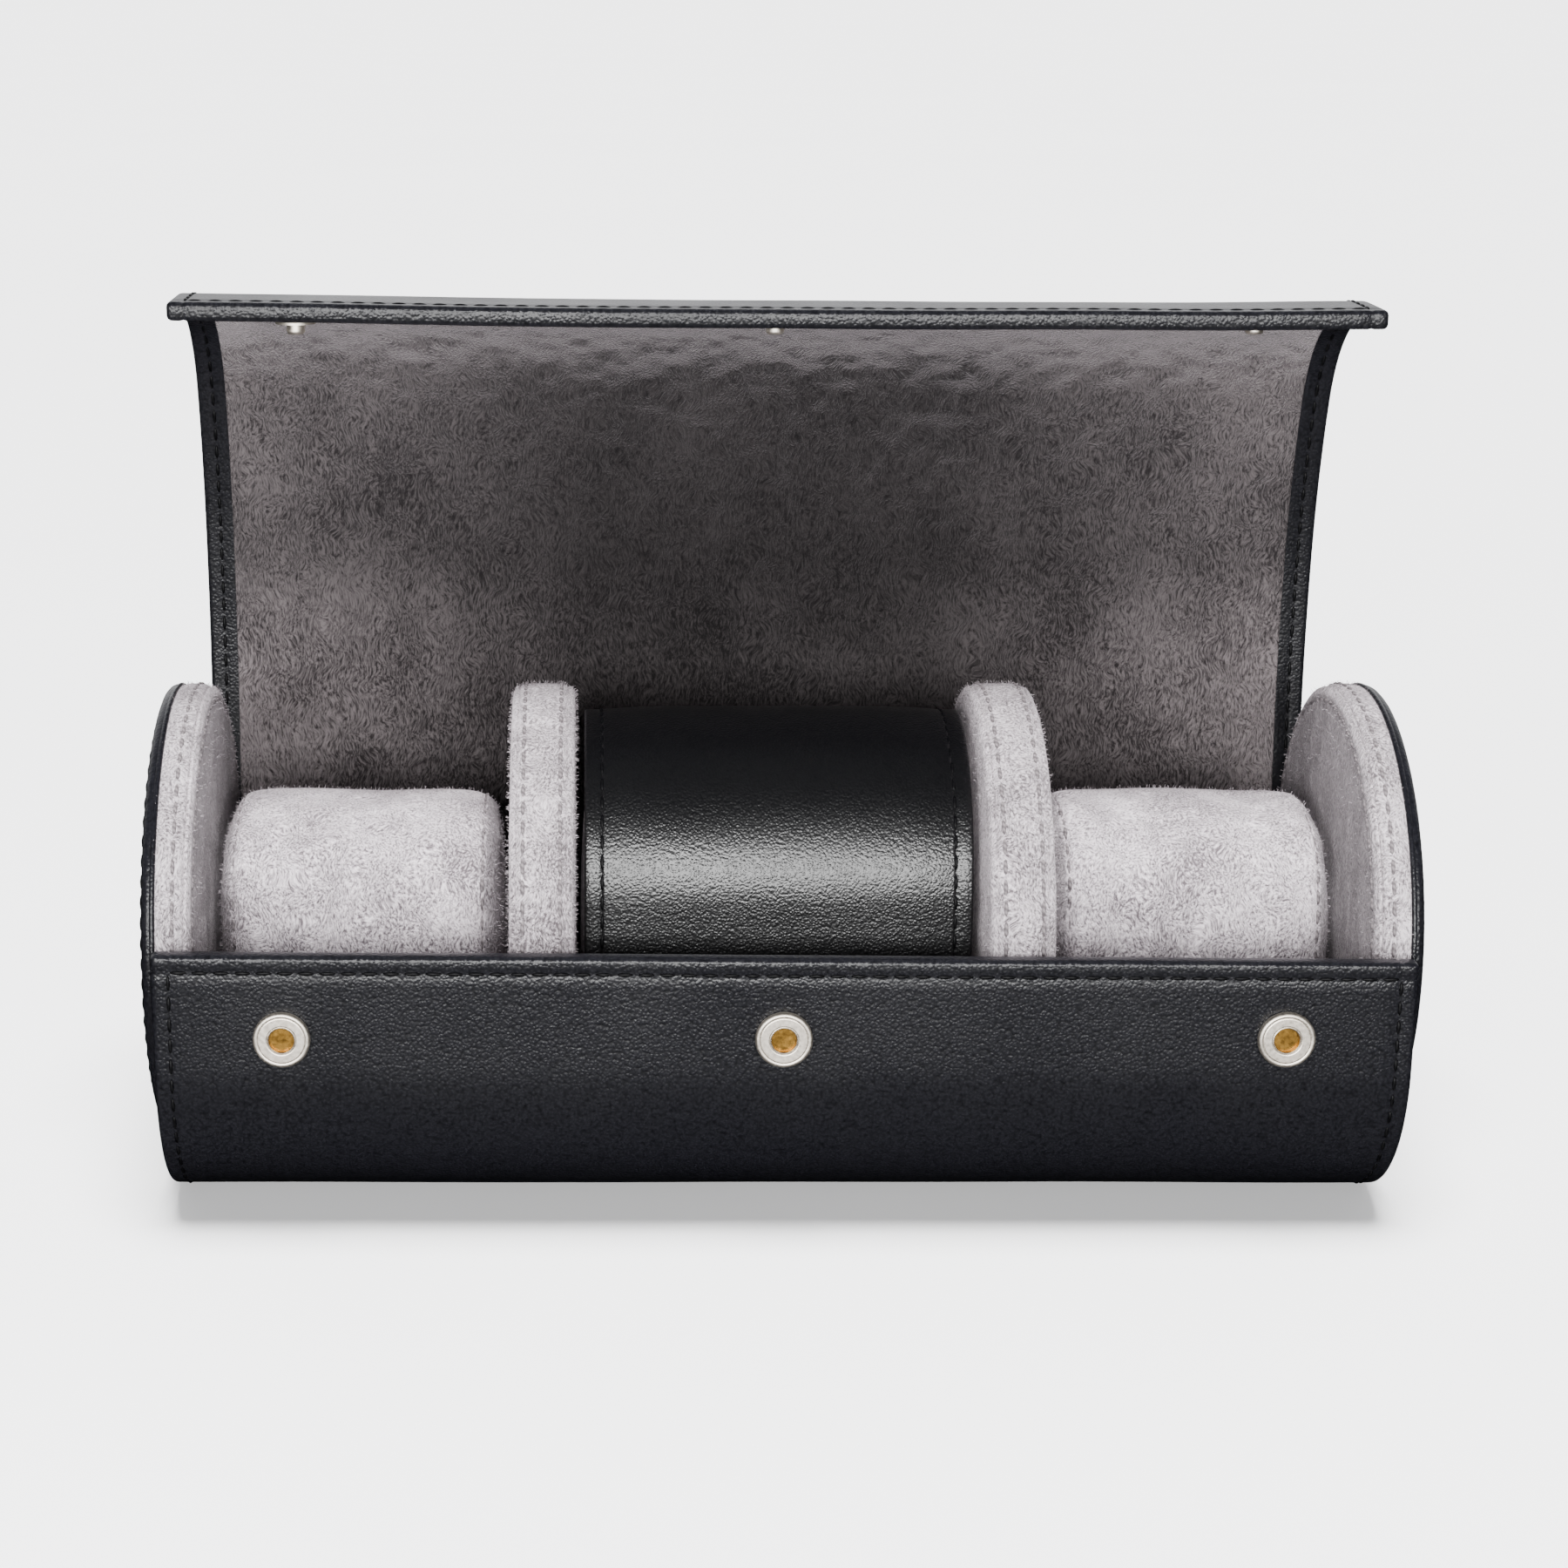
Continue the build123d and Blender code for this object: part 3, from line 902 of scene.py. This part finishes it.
for name, length in lengths.items():
    rules = free_edges.get(name, plain_edges)
    leather = sweep_length(name, length, rules["facing"], name == "flap_wrap", name == "front_wrap")
    round_edges(leather, rules["edge"])
    press_grooves(leather, rules["seam"])
    both_ends = ((length["start"], -1), (length["end"], 1))
    cut_ends = [(end, onwards) for end, onwards in both_ends if end not in (wrap_start, lid_edge)]
    lining = sink_lining(name + "_lining", leather, rules["behind"], cut_ends)
    rows = side_seams(leather, rules["sewn"])
    if rules is not plain_edges:
        rows += edge_seams(leather, rules["seam"])
    stitches = join_pieces(name + "_stitches", rows)
    for piece in (leather, lining, stitches):
        lean(piece)
        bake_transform(piece)
    shade(leather)
    shade(lining)
    hidden = [f"{part}_{layer}" for part in length["hides"] for layer in ("leather", "board")]
    dress(leather, black_leather, hides=hidden)
    lined = [f"{part}_lining" for part in length["hides"]]
    if name == "back_wrap":
        lined.append("hinge_spine")
    # Painted shade on the lid's lining, darkest in its middle.
    paint_shade(lining, lining_painted_shade)
    dress(lining, lining_suede, hides=lined)
    dress(stitches, black_thread)
    print(name, len(leather.data.polygons), "faces,", len(stitches.data.polygons), "in stitches")

# %% [markdown]
# ## Turning a profile
#
# The round ends, dividers and snaps are bodies of revolution. By hand you would place one vertex,
# extrude it point by point along half the outline, and spin the line round the axis. A merged plane
# gives the single vertex to start from.


# %% Helper that turns a profile
def turn_profile(name, centre, axis, outline, steps=96):
    """Spin an outline of (distance along the axis, radius) points."""
    axis = Vector(axis)
    out = Vector((0, 0, 1)) if abs(axis.z) < 0.5 else Vector((0, 1, 0))
    points = [Vector(centre) + axis * along + out * radius for along, radius in outline]
    deselect_all()
    bpy.ops.mesh.primitive_plane_add(size=mm, location=points[0])
    piece = bpy.context.object
    piece.name = name
    bpy.ops.object.transform_apply(location=True, rotation=False, scale=False)
    bpy.ops.object.mode_set(mode="EDIT")
    bpy.ops.mesh.select_mode(type="VERT")
    bpy.ops.mesh.select_all(action="SELECT")
    bpy.ops.mesh.merge(type="CENTER")
    for here, after in zip(points, points[1:]):
        bpy.ops.mesh.extrude_vertices_move(TRANSFORM_OT_translate={"value": after - here})
    bpy.ops.mesh.select_all(action="SELECT")
    bpy.ops.mesh.spin(steps=steps, angle=math.tau, center=centre, axis=axis)
    bpy.ops.mesh.select_all(action="SELECT")
    bpy.ops.mesh.remove_doubles(threshold=0.001 * mm)
    bpy.ops.mesh.normals_make_consistent(inside=False)
    bpy.ops.object.mode_set(mode="OBJECT")
    shade(piece, 50)
    return piece


def offsets(along, radius, *points):
    """Outline points given in millimetres from a place along the axis and a radius."""
    return [(along + a * mm, radius + r * mm) for a, r in points]


def sew_ring(centre, axis, along, radius):
    """A ring of stitches round an axis that runs along X."""
    deselect_all()
    bpy.ops.curve.primitive_bezier_circle_add(radius=radius)
    ring = bpy.context.object
    ring.data.resolution_u = 32
    ring.rotation_euler = (0, quarter_turn, 0)
    ring.location = Vector(centre) + Vector(axis) * along
    bpy.ops.object.transform_apply(location=True, rotation=True, scale=False)
    return sew_along(ring)


# %% [markdown]
# ## Raising the nap
#
# Along its edges suede shows single fibres against what lies behind. A hair particle system grows them:
# it scatters short hairs over the vertices of a group and leans each one at random. Converted to a curve
# with a round bevel and then to a mesh, they are thin tubes that stay with the model. They are thicker
# than real fibres, which would not show.

# %% Helper that raises the nap
fibre_speed = 0.1 * mm
fibre_radius = 0.035 * mm


def raise_nap(name, piece, count, body, test):
    """Grow short fibres round the vertices that pass a test."""
    make_active(piece)
    group = piece.vertex_groups.new(name="nap")
    group.add([vertex.index for vertex in piece.data.vertices if test(vertex.co)], 1.0, "ADD")
    bpy.ops.object.particle_system_add()
    system = piece.particle_systems[0]
    system.seed = 1
    system.vertex_group_density = group.name
    hair = system.settings
    hair.type = "HAIR"
    hair.count = count
    hair.hair_step = 2
    hair.display_step = 1
    hair.use_advanced_hair = True
    hair.normal_factor = fibre_speed
    hair.factor_random = fibre_speed
    before = set(bpy.data.objects)
    bpy.ops.object.modifier_convert(modifier=piece.modifiers[-1].name)
    fibres = (set(bpy.data.objects) - before).pop()
    make_active(piece)
    bpy.ops.object.particle_system_remove()
    piece.vertex_groups.clear()
    make_active(fibres)
    bpy.ops.object.convert(target="CURVE")
    fibres = bpy.context.object
    fibres.data.bevel_depth = fibre_radius
    fibres.data.bevel_resolution = 0
    fibres.data.use_fill_caps = True
    bpy.ops.object.convert(target="MESH")
    fibres = bpy.context.object
    fibres.name = name
    shade(fibres, soft_angle)
    return dress(fibres, piece.data.materials[0], body)


# %% [markdown]
# ## Round ends
#
# Each end is a drum: a leather disc outside, bound at its rim with a thin piping, a strip of suede
# round the edge and a padded suede face inside. A seam joins the strip to the face, so the profile
# dips there and both sides of it swell a little.

# %% The two round ends
cap_low, cap_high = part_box("right_cap_leather")
round_centre_z = (cap_low.z + cap_high.z) / 2
round_radius = (cap_high.z - cap_low.z) / 2
cap_outer = cap_high.x
cap_face = cap_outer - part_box("right_cap_pad")[0].x
leather_rim = 2.5 * mm
piping_round = 0.55 * mm
gusset_end = 8.2 * mm
disc_seam = 0.25 * mm
rim_seam_back = 1.9 * mm
rim_seam_proud = 0.02 * mm
face_seam_on = 1.4 * mm
face_seam_inset = 3.0 * mm
cap_shade_from = 1.3 * mm
nap_rim = 6 * mm
drum_fibres = 4500


def cap_leather_outline():
    r = round_radius
    seam = r - seam_inset
    return [
        (0, 0),
        (0.02 * mm, 0.5 * r),
        (0.12 * mm, seam - 2 * mm),
        (0.2 * mm, seam - groove_half),
        (0.5 * mm, seam),
        (0.2 * mm, seam + groove_half),
        *offsets(0, r, (0.3, -1.6), (0.6, -0.8), (1.1, -0.25), (1.7, 0)),
        *offsets(leather_rim, r, (-0.2, -0.1), (0, -0.8), (0, -3)),
        (leather_rim, 0),
    ]


def cap_suede_outline():
    r = round_radius
    face_round = r - 0.9 * mm
    return [
        (leather_rim + 0.02 * mm, 0),
        *offsets(leather_rim, r, (0.02, -1.0), (0.5, -0.25), (1.5, 0.05)),
        *offsets(0, r, (5.2, 0.15)),
        *offsets(gusset_end, r, (-1.2, 0), (-0.35, -0.35), (0, -0.95), (0.2, -0.55), (0.7, -0.5)),
        *offsets(gusset_end, face_round, (1.2, -0.5), (1.45, -1.5)),
        *offsets(gusset_end, r, (1.4, -3.0), (1.6, -4.0)),
        (cap_face - 0.5 * mm, 0.66 * r),
        (cap_face - 0.1 * mm, 0.33 * r),
        (cap_face, 0),
    ]


def near_rim(co):
    return math.hypot(co.y, co.z - round_centre_z) > round_radius - nap_rim


for side, name in ((-1, "left_cap"), (1, "right_cap")):
    centre = (side * cap_outer, 0, round_centre_z)
    inwards = (-side, 0, 0)
    disc = turn_profile(name + "_disc", centre, inwards, cap_leather_outline())
    drum = turn_profile(name + "_drum", centre, inwards, cap_suede_outline())
    deselect_all()
    bpy.ops.mesh.primitive_torus_add(
        major_radius=round_radius - 0.25 * mm,
        minor_radius=piping_round,
        major_segments=96,
        minor_segments=8,
        location=Vector(centre) + Vector(inwards) * leather_rim,
        rotation=(0, quarter_turn, 0),
    )
    piping = bpy.context.object
    piping.name = name + "_piping"
    bpy.ops.object.transform_apply(location=True, rotation=True, scale=False)
    shade(piping, soft_angle)
    outer_seam = sew_ring(centre, inwards, disc_seam, round_radius - seam_inset)
    rim_seam = sew_ring(centre, inwards, gusset_end - rim_seam_back, round_radius + rim_seam_proud)
    face_seam = sew_ring(centre, inwards, gusset_end + face_seam_on, round_radius - face_seam_inset)
    outer_seam.name = name + "_disc_stitches"
    suede_seams = join_pieces(name + "_drum_stitches", [rim_seam, face_seam])
    dress(disc, black_leather, "case", [name + "_leather", name + "_board"])
    dress(piping, black_leather, "case")
    # Painted shade on the inner face of each round end.
    paint_shade(drum, lambda co: cap_outer - abs(co.x) > gusset_end + cap_shade_from)
    dress(drum, pale_suede, "case", [name + "_gusset", name + "_pad"])
    dress(outer_seam, black_thread, "case")
    dress(suede_seams, grey_thread, "case")
    raise_nap(name + "_nap", drum, drum_fibres, "case", near_rim)
    print(name, len(drum.data.polygons), "faces in its drum")

# %% [markdown]
# ## Dividers
#
# A divider is a stiff round core covered in suede: two faces sewn to a band round its edge. Its
# outline is the same on both sides of its middle, so one half is written and mirrored.

# %% The two dividers
divider_low, divider_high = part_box("right_divider_cover")
divider_x = (divider_low.x + divider_high.x) / 2
divider_half = (divider_high.x - divider_low.x) / 2
band_half = divider_half - 1.5 * mm
seam_along = band_half - 1.5 * mm
divider_seam = round_radius + 0.05 * mm
divider_fibres = 5500
half_outline = [
    (divider_half, 0),
    (divider_half - 0.05 * mm, 0.4 * round_radius),
    (divider_half - 0.2 * mm, 0.75 * round_radius),
    *offsets(divider_half, round_radius, (-0.35, -3.2), (-0.45, -1.6), (-0.9, -0.6)),
    *offsets(band_half, round_radius, (0, -0.35), (-0.3, -0.65), (-0.6, -0.2), (-1.5, 0.08)),
    (0.3 * band_half, round_radius + 0.15 * mm),
]
divider_outline = half_outline + [(-along, radius) for along, radius in half_outline[::-1]]
for side, name in ((-1, "left_divider"), (1, "right_divider")):
    centre = (side * divider_x, 0, round_centre_z)
    along_x = (1, 0, 0)
    cover = turn_profile(name + "_suede", centre, along_x, divider_outline)
    rings = [sew_ring(centre, along_x, place, divider_seam) for place in (-seam_along, seam_along)]
    seams = join_pieces(name + "_stitches", rings)
    dress(cover, pale_suede, "case", [name + "_cover", name + "_core"])
    dress(seams, grey_thread, "case")
    raise_nap(name + "_nap", cover, divider_fibres, "case", near_rim)
    print(name, len(cover.data.polygons), "faces")

# %% [markdown]
# ## Pillows
#
# A pillow is suede sewn round soft wadding: a band over the front, top and back, and an end panel at
# each side. It starts as a box with rounded corners, a little too small. A cloth simulation blows it
# up, so that it swells between its seams as a filled cover does, and a cap keeps it in its space.

# %% Helpers for a pillow
pillow_shrink = 1.2 * mm
swell_cap = 2.2 * mm
seam_from_end = 4.2 * mm
end_round = 3.4 * mm
dip_half = 0.9 * mm
dip_depth = 0.8 * mm
filling_pressure = 4
swell_frames = 20


def pillow_block(name, low, high, corner):
    size = high - low - Vector((2, 2, 2)) * pillow_shrink
    deselect_all()
    bpy.ops.mesh.primitive_cube_add(size=1, location=(low + high) / 2, scale=size)
    block = bpy.context.object
    block.name = name
    bpy.ops.object.transform_apply(location=True, rotation=False, scale=True)
    round_off(block, lambda a, b: abs(a.co.x - b.co.x) > near_zero, corner, 10)
    end_x = max(v.co.x for v in block.data.vertices), min(v.co.x for v in block.data.vertices)
    round_off(block, lambda a, b: abs(a.co.x - b.co.x) < near_zero and a.co.x in end_x, end_round, 4)
    return block


def swell(block, voxel):
    """Blow the cover up with a short cloth simulation, and cap how far it goes."""
    apply_modifier(block, "REMESH", mode="VOXEL", voxel_size=voxel)
    rest = [vertex.co.copy() for vertex in block.data.vertices]
    cloth = block.modifiers.new("Cloth", "CLOTH")
    cloth.settings.use_pressure = True
    cloth.settings.uniform_pressure_force = filling_pressure
    cloth.settings.effector_weights.gravity = 0
    for step in range(1, swell_frames + 1):
        bpy.context.scene.frame_set(step)
    make_active(block)
    bpy.ops.object.modifier_apply(modifier=cloth.name)
    bpy.context.scene.frame_set(1)
    for vertex, start in zip(block.data.vertices, rest):
        move = vertex.co - start
        if move.length > swell_cap:
            vertex.co = start + move * (swell_cap / move.length)


def sew_ends(name, pillow, ends):
    """Press a seam in near each end and sew it."""
    seams = []
    for x, inwards in ends:
        seam_x = x + inwards * seam_from_end
        cut_lines(pillow, [seam_x - dip_half, seam_x, seam_x + dip_half])

        def dip(vertex):
            if abs(vertex.co.x - seam_x) < near_zero:
                return Vector((0, vertex.normal.y, vertex.normal.z)) * -dip_depth

        def on_seam(a, b):
            return max(abs(a.co.x - seam_x), abs(b.co.x - seam_x)) < 0.1 * mm

        shift_vertices(pillow, dip)
        seams.append(sew_along(lift_path(pillow, on_seam)))
    return join_pieces(name, seams)


# %% [markdown]
# ## Side pillows
#
# The two side pillows are alike: a cover that is swelled, smoothed, sewn near both ends and given slow
# waves, with painted shade on its end panels. A loop makes both, each in the box of its CAD cover.

# %% The side pillows
side_corner = 20 * mm
side_voxel = 4 * mm
pillow_wave = (0.5 * mm, 17 * mm)
end_shade_margin = 0.5 * mm
nap_band = 45 * mm
pillow_fibres = 5000
for name in ("left_pillow", "right_pillow"):
    low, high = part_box(name + "_cover")
    pillow = pillow_block(name + "_suede", low, high, side_corner)
    swell(pillow, side_voxel)
    apply_modifier(pillow, "SUBSURF", levels=1, render_levels=1)
    stitches = sew_ends(name + "_stitches", pillow, ((low.x, 1), (high.x, -1)))
    ripple(pillow, *pillow_wave)
    shade(pillow, soft_angle)
    shaded_end_from = (high.x - low.x) / 2 - seam_from_end + end_shade_margin
    # Painted shade on the pillow's end panels.
    paint_shade(pillow, lambda co: abs(co.x - (low.x + high.x) / 2) > shaded_end_from)
    dress(pillow, pillow_suede, name, [name + "_cover", name + "_filling"])
    dress(stitches, grey_thread, name)
    raise_nap(name + "_nap", pillow, pillow_fibres, name, lambda co: co.z > high.z - nap_band)
    print(name, len(pillow.data.polygons), "faces")

# %% [markdown]
# ## The centre pillow
#
# The middle pillow is made like the side ones, wider and with larger corners. The sleeve hides its
# band, so it has no seams of its own.

# %% The centre pillow
centre_corner = 26 * mm
centre_voxel = 5 * mm
low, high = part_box("centre_pillow_cover")
pillow = pillow_block("centre_pillow_suede", low, high, centre_corner)
swell(pillow, centre_voxel)
apply_modifier(pillow, "SUBSURF", levels=1, render_levels=1)
shade(pillow, soft_angle)
centre_nodes = ["centre_pillow_cover", "centre_pillow_filling"]
dress(pillow, pale_suede, "centre_pillow", centre_nodes)
print("centre pillow", len(pillow.data.polygons), "faces")

# %% [markdown]
# ## The leather sleeve
#
# The middle pillow wears an arched sleeve of leather, sewn along both sides. The sleeve is swept like
# the wrap, from its back foot over the top to its front foot. It is two layers thick, which shows at
# the cut edge, and the filling lifts it a little between its two seams.

# %% The sleeve
sleeve_low, sleeve_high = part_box("centre_sleeve_leather")
sleeve_half = sleeve_high.x
sleeve_seam = sleeve_half - 3.4 * mm
sleeve_centre = Vector((0, 0, sleeve_high.z - sleeve_high.y))
leather_layer = 1.4 * mm
lining_layer = 0.8 * mm
sleeve_crown = 0.7 * mm
crown_flatness = 6
sleeve_columns = 20


def sweep_sleeve(name, outer_reach, thickness):
    reach = outer_reach - thickness
    leg = (sleeve_centre.z - sleeve_low.z, 0)
    place = (reach, sleeve_low.z, quarter_turn)
    sheet = start_row(name, 2 * sleeve_half, sleeve_columns, place)
    for run in (leg, arc_run(reach, math.pi), leg):
        place = sweep(place, run)
    bpy.ops.object.mode_set(mode="OBJECT")
    turn_outwards(sheet, sleeve_centre)
    apply_modifier(sheet, "SOLIDIFY", thickness=thickness, offset=1, use_even_offset=True)

    def cut_edge(a, b):
        at_side = min(abs(a.co.x), abs(b.co.x)) > sleeve_half - near_zero
        return at_side and faces_in(a, sleeve_centre) == faces_in(b, sleeve_centre)

    round_off(sheet, cut_edge, 0.35 * thickness, 3)
    return sheet


def crown(vertex):
    """Lift the outer face between the seams, and pull it in along them."""
    if faces_in(vertex, sleeve_centre):
        return None
    share = min(1.0, abs(vertex.co.x) / sleeve_seam)
    rise = sleeve_crown * (1 - share**crown_flatness)
    if abs(abs(vertex.co.x) - sleeve_seam) < near_zero:
        rise = -groove_depth
    return vertex.normal * rise


sleeve = sweep_sleeve("centre_sleeve_skin", sleeve_high.y, leather_layer)
cut_lines(sleeve, [side * (sleeve_seam + d) for side in (-1, 1) for d in (-groove_half, 0, groove_half)])
shift_vertices(sleeve, crown)
rows = []
for side in (-1, 1):

    def on_sleeve_seam(a, b):
        at_x = max(abs(a.co.x - side * sleeve_seam), abs(b.co.x - side * sleeve_seam)) < 0.2 * mm
        return at_x and not faces_in(a, sleeve_centre) and not faces_in(b, sleeve_centre)

    rows.append(sew_along(lift_path(sleeve, on_sleeve_seam)))
sleeve_stitches = join_pieces("centre_sleeve_stitches", rows)
under = sweep_sleeve("centre_sleeve_under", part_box("centre_sleeve_lining")[1].y, lining_layer)
shade(sleeve)
shade(under)
dress(sleeve, sleeve_leather, "centre_pillow", ["centre_sleeve_leather"])
dress(sleeve_stitches, black_thread, "centre_pillow")
dress(under, sleeve_leather, "centre_pillow", ["centre_sleeve_lining"])
print("sleeve", len(sleeve.data.polygons), "faces")

# %% [markdown]
# ## Snap sockets
#
# The sockets are stamped: a rolled rim, a shallow ring and a collar round the hole catch the light, so
# a finer profile than the CAD one is turned, and a thin brass cup lines the hole. The lid's sheet sags a
# little, so the sockets stand a little lower and leave it room.

# %% The sockets
socket_low, socket_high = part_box("snap_sockets")
socket_rim = (socket_high.z - socket_low.z) / 2
lid_room = 0.6 * mm
socket_deep = socket_high.y - socket_low.y - lid_room
socket_z = (socket_high.z + socket_low.z) / 2
snap_spacing = socket_high.x - socket_rim
socket_hole = 2.4 * mm
socket_floor = 0.4 * mm
socket_outline = [
    (0, 0),
    *offsets(0, socket_rim, (0, -0.2), (0.4, 0)),
    *offsets(socket_deep, socket_rim, (-0.5, 0), (-0.15, -0.15), (0, -0.45), (0, -0.75)),
    *offsets(socket_deep, socket_rim, (-0.1, -0.9), (0, -1.05), (0, -1.15)),
    *offsets(socket_deep, socket_hole, (0, 0.55), (0, 0.45), (-0.12, 0.3), (-0.03, 0.15), (-0.15, 0)),
    *offsets(socket_floor, socket_hole, (0.05, -0.02)),
    (socket_floor, 0),
]
liner_outline = [
    (socket_floor + 0.06 * mm, 0),
    *offsets(socket_floor, socket_hole, (0.06, -0.03)),
    *offsets(socket_deep, socket_hole, (-0.5, -0.03), (-0.5, -0.1)),
    *offsets(socket_floor, socket_hole, (0.12, -0.1)),
    (socket_floor + 0.12 * mm, 0),
]
cups = []
liners = []
for x in (-snap_spacing, 0, snap_spacing):
    centre = (x, socket_high.y, socket_z)
    cups.append(turn_profile("cup", centre, (0, -1, 0), socket_outline, 64))
    liners.append(turn_profile("liner", centre, (0, -1, 0), liner_outline, 32))
sockets = join_pieces("socket_cups", cups)
dress(sockets, nickel, "front_flap", ["snap_sockets"])
dress(join_pieces("socket_liners", liners), brass, "front_flap")
print("sockets", len(sockets.data.polygons), "faces")

# %% [markdown]
# ## Studs, rivets and springs
#
# These small metal pieces have their real shape in the CAD model, so they stay as they are and only get
# their materials.

# %% Materials on the CAD pieces that stay
kept = {
    "snap_studs": nickel,
    "socket_springs": brass,
    "socket_rivets": brass,
    "stud_rivets": brass,
}
for name, material in kept.items():
    frame["nodes"][name].data.materials.clear()
    frame["nodes"][name].data.materials.append(material)
print("kept", sorted(kept))

# %% [markdown]
# ## Floor and light
#
# The case stands on a white table in a light tent that is open to a darker room in front, so the
# world is bright behind and dim in front: that keeps the black leather black. A broad light from above
# whitens the table and the tops of the pillows. A wide, low softbox in front lights the pillows' fronts
# and draws the satin band on the sleeve. The table and the upper light are hidden from glossy rays, as
# black cards round a product do, or the flap and the sleeve would mirror them. Seen straight on, the
# tent is as pale as the table.

# %% Floor and light
floor_size = 400
sky_in_front, sky_behind, sky_seen = 0.08, 1.8, 4.0
deselect_all()
bpy.ops.mesh.primitive_plane_add(size=floor_size)
floor = bpy.context.object
floor.name = "white_table"
white_table, tree, shader = new_material("matt_white_laminate")
coords = node(tree, "TexCoord").outputs["Object"]
dust = node(tree, "TexNoise", {"Vector": coords, "Scale": per_size(400 * mm)})
tone = node(tree, "ValToRGB", {"Fac": dust.outputs["Fac"]})
tone.color_ramp.elements[0].color = linear("#f7f7f8")
tone.color_ramp.elements[1].color = linear("#fbfbfc")
tree.links.new(tone.outputs["Color"], shader.inputs["Base Color"])
shader.inputs["Roughness"].default_value = 0.7
floor.data.materials.append(white_table)
floor.visible_glossy = False

world = bpy.data.worlds.new("light_tent")
world.use_nodes = True
tree = world.node_tree
direction = node(tree, "SeparateXYZ", {"Vector": node(tree, "TexCoord").outputs["Generated"]})
brightness = node(
    tree,
    "MapRange",
    {
        "Value": direction.outputs["Y"],
        "From Min": 0.1,
        "From Max": 1.0,
        "To Min": sky_in_front,
        "To Max": sky_behind,
    },
)
above = node(tree, "Math", {0: direction.outputs["Z"], 1: 0.0}, operation="GREATER_THAN")
strength = node(
    tree, "Math", {0: brightness.outputs["Result"], 1: above.outputs["Value"]}, operation="MULTIPLY"
)
seen = node(tree, "LightPath").outputs["Is Camera Ray"]
shown = node(tree, "Mix", {0: seen, 2: strength.outputs["Value"], 3: sky_seen})
tree.nodes["Background"].inputs["Color"].default_value = linear("#f6f6f8")
tree.links.new(shown.outputs["Result"], tree.nodes["Background"].inputs["Strength"])
bpy.context.scene.world = world

bpy.ops.object.light_add(type="SUN", location=(0, 1, 2), rotation=(math.radians(3), 0, 0))
top_light = bpy.context.object
top_light.name = "top_light"
top_light.data.energy = 13
top_light.data.angle = math.radians(28)
top_light.visible_glossy = False
front_place, front_target = Vector((-0.1, -1.1, 0.28)), Vector((0, 0, 0.06))
bpy.ops.object.light_add(type="AREA", location=front_place)
front_light = bpy.context.object
front_light.name = "front_light"
front_light.data.shape = "RECTANGLE"
front_light.data.size = 1.2
front_light.data.size_y = 0.3
front_light.data.energy = 36
front_light.rotation_euler = (front_target - front_place).to_track_quat("-Z", "Y").to_euler()

# %% [markdown]
# ## Camera
#
# The picture is taken from in front and a little above, with a long lens, so the round ends show only a
# little of their inner faces. The camera stands left of the middle, and its shift brings the case back.

# %% Camera
bpy.ops.object.camera_add(location=(-0.036, -0.594, 0.234), rotation=(math.radians(75), 0, 0))
camera = bpy.context.object
camera.data.lens = 71.2
camera.data.sensor_width = 36
camera.data.shift_x = 0.124
bpy.context.scene.camera = camera
print("camera", tuple(camera.location))
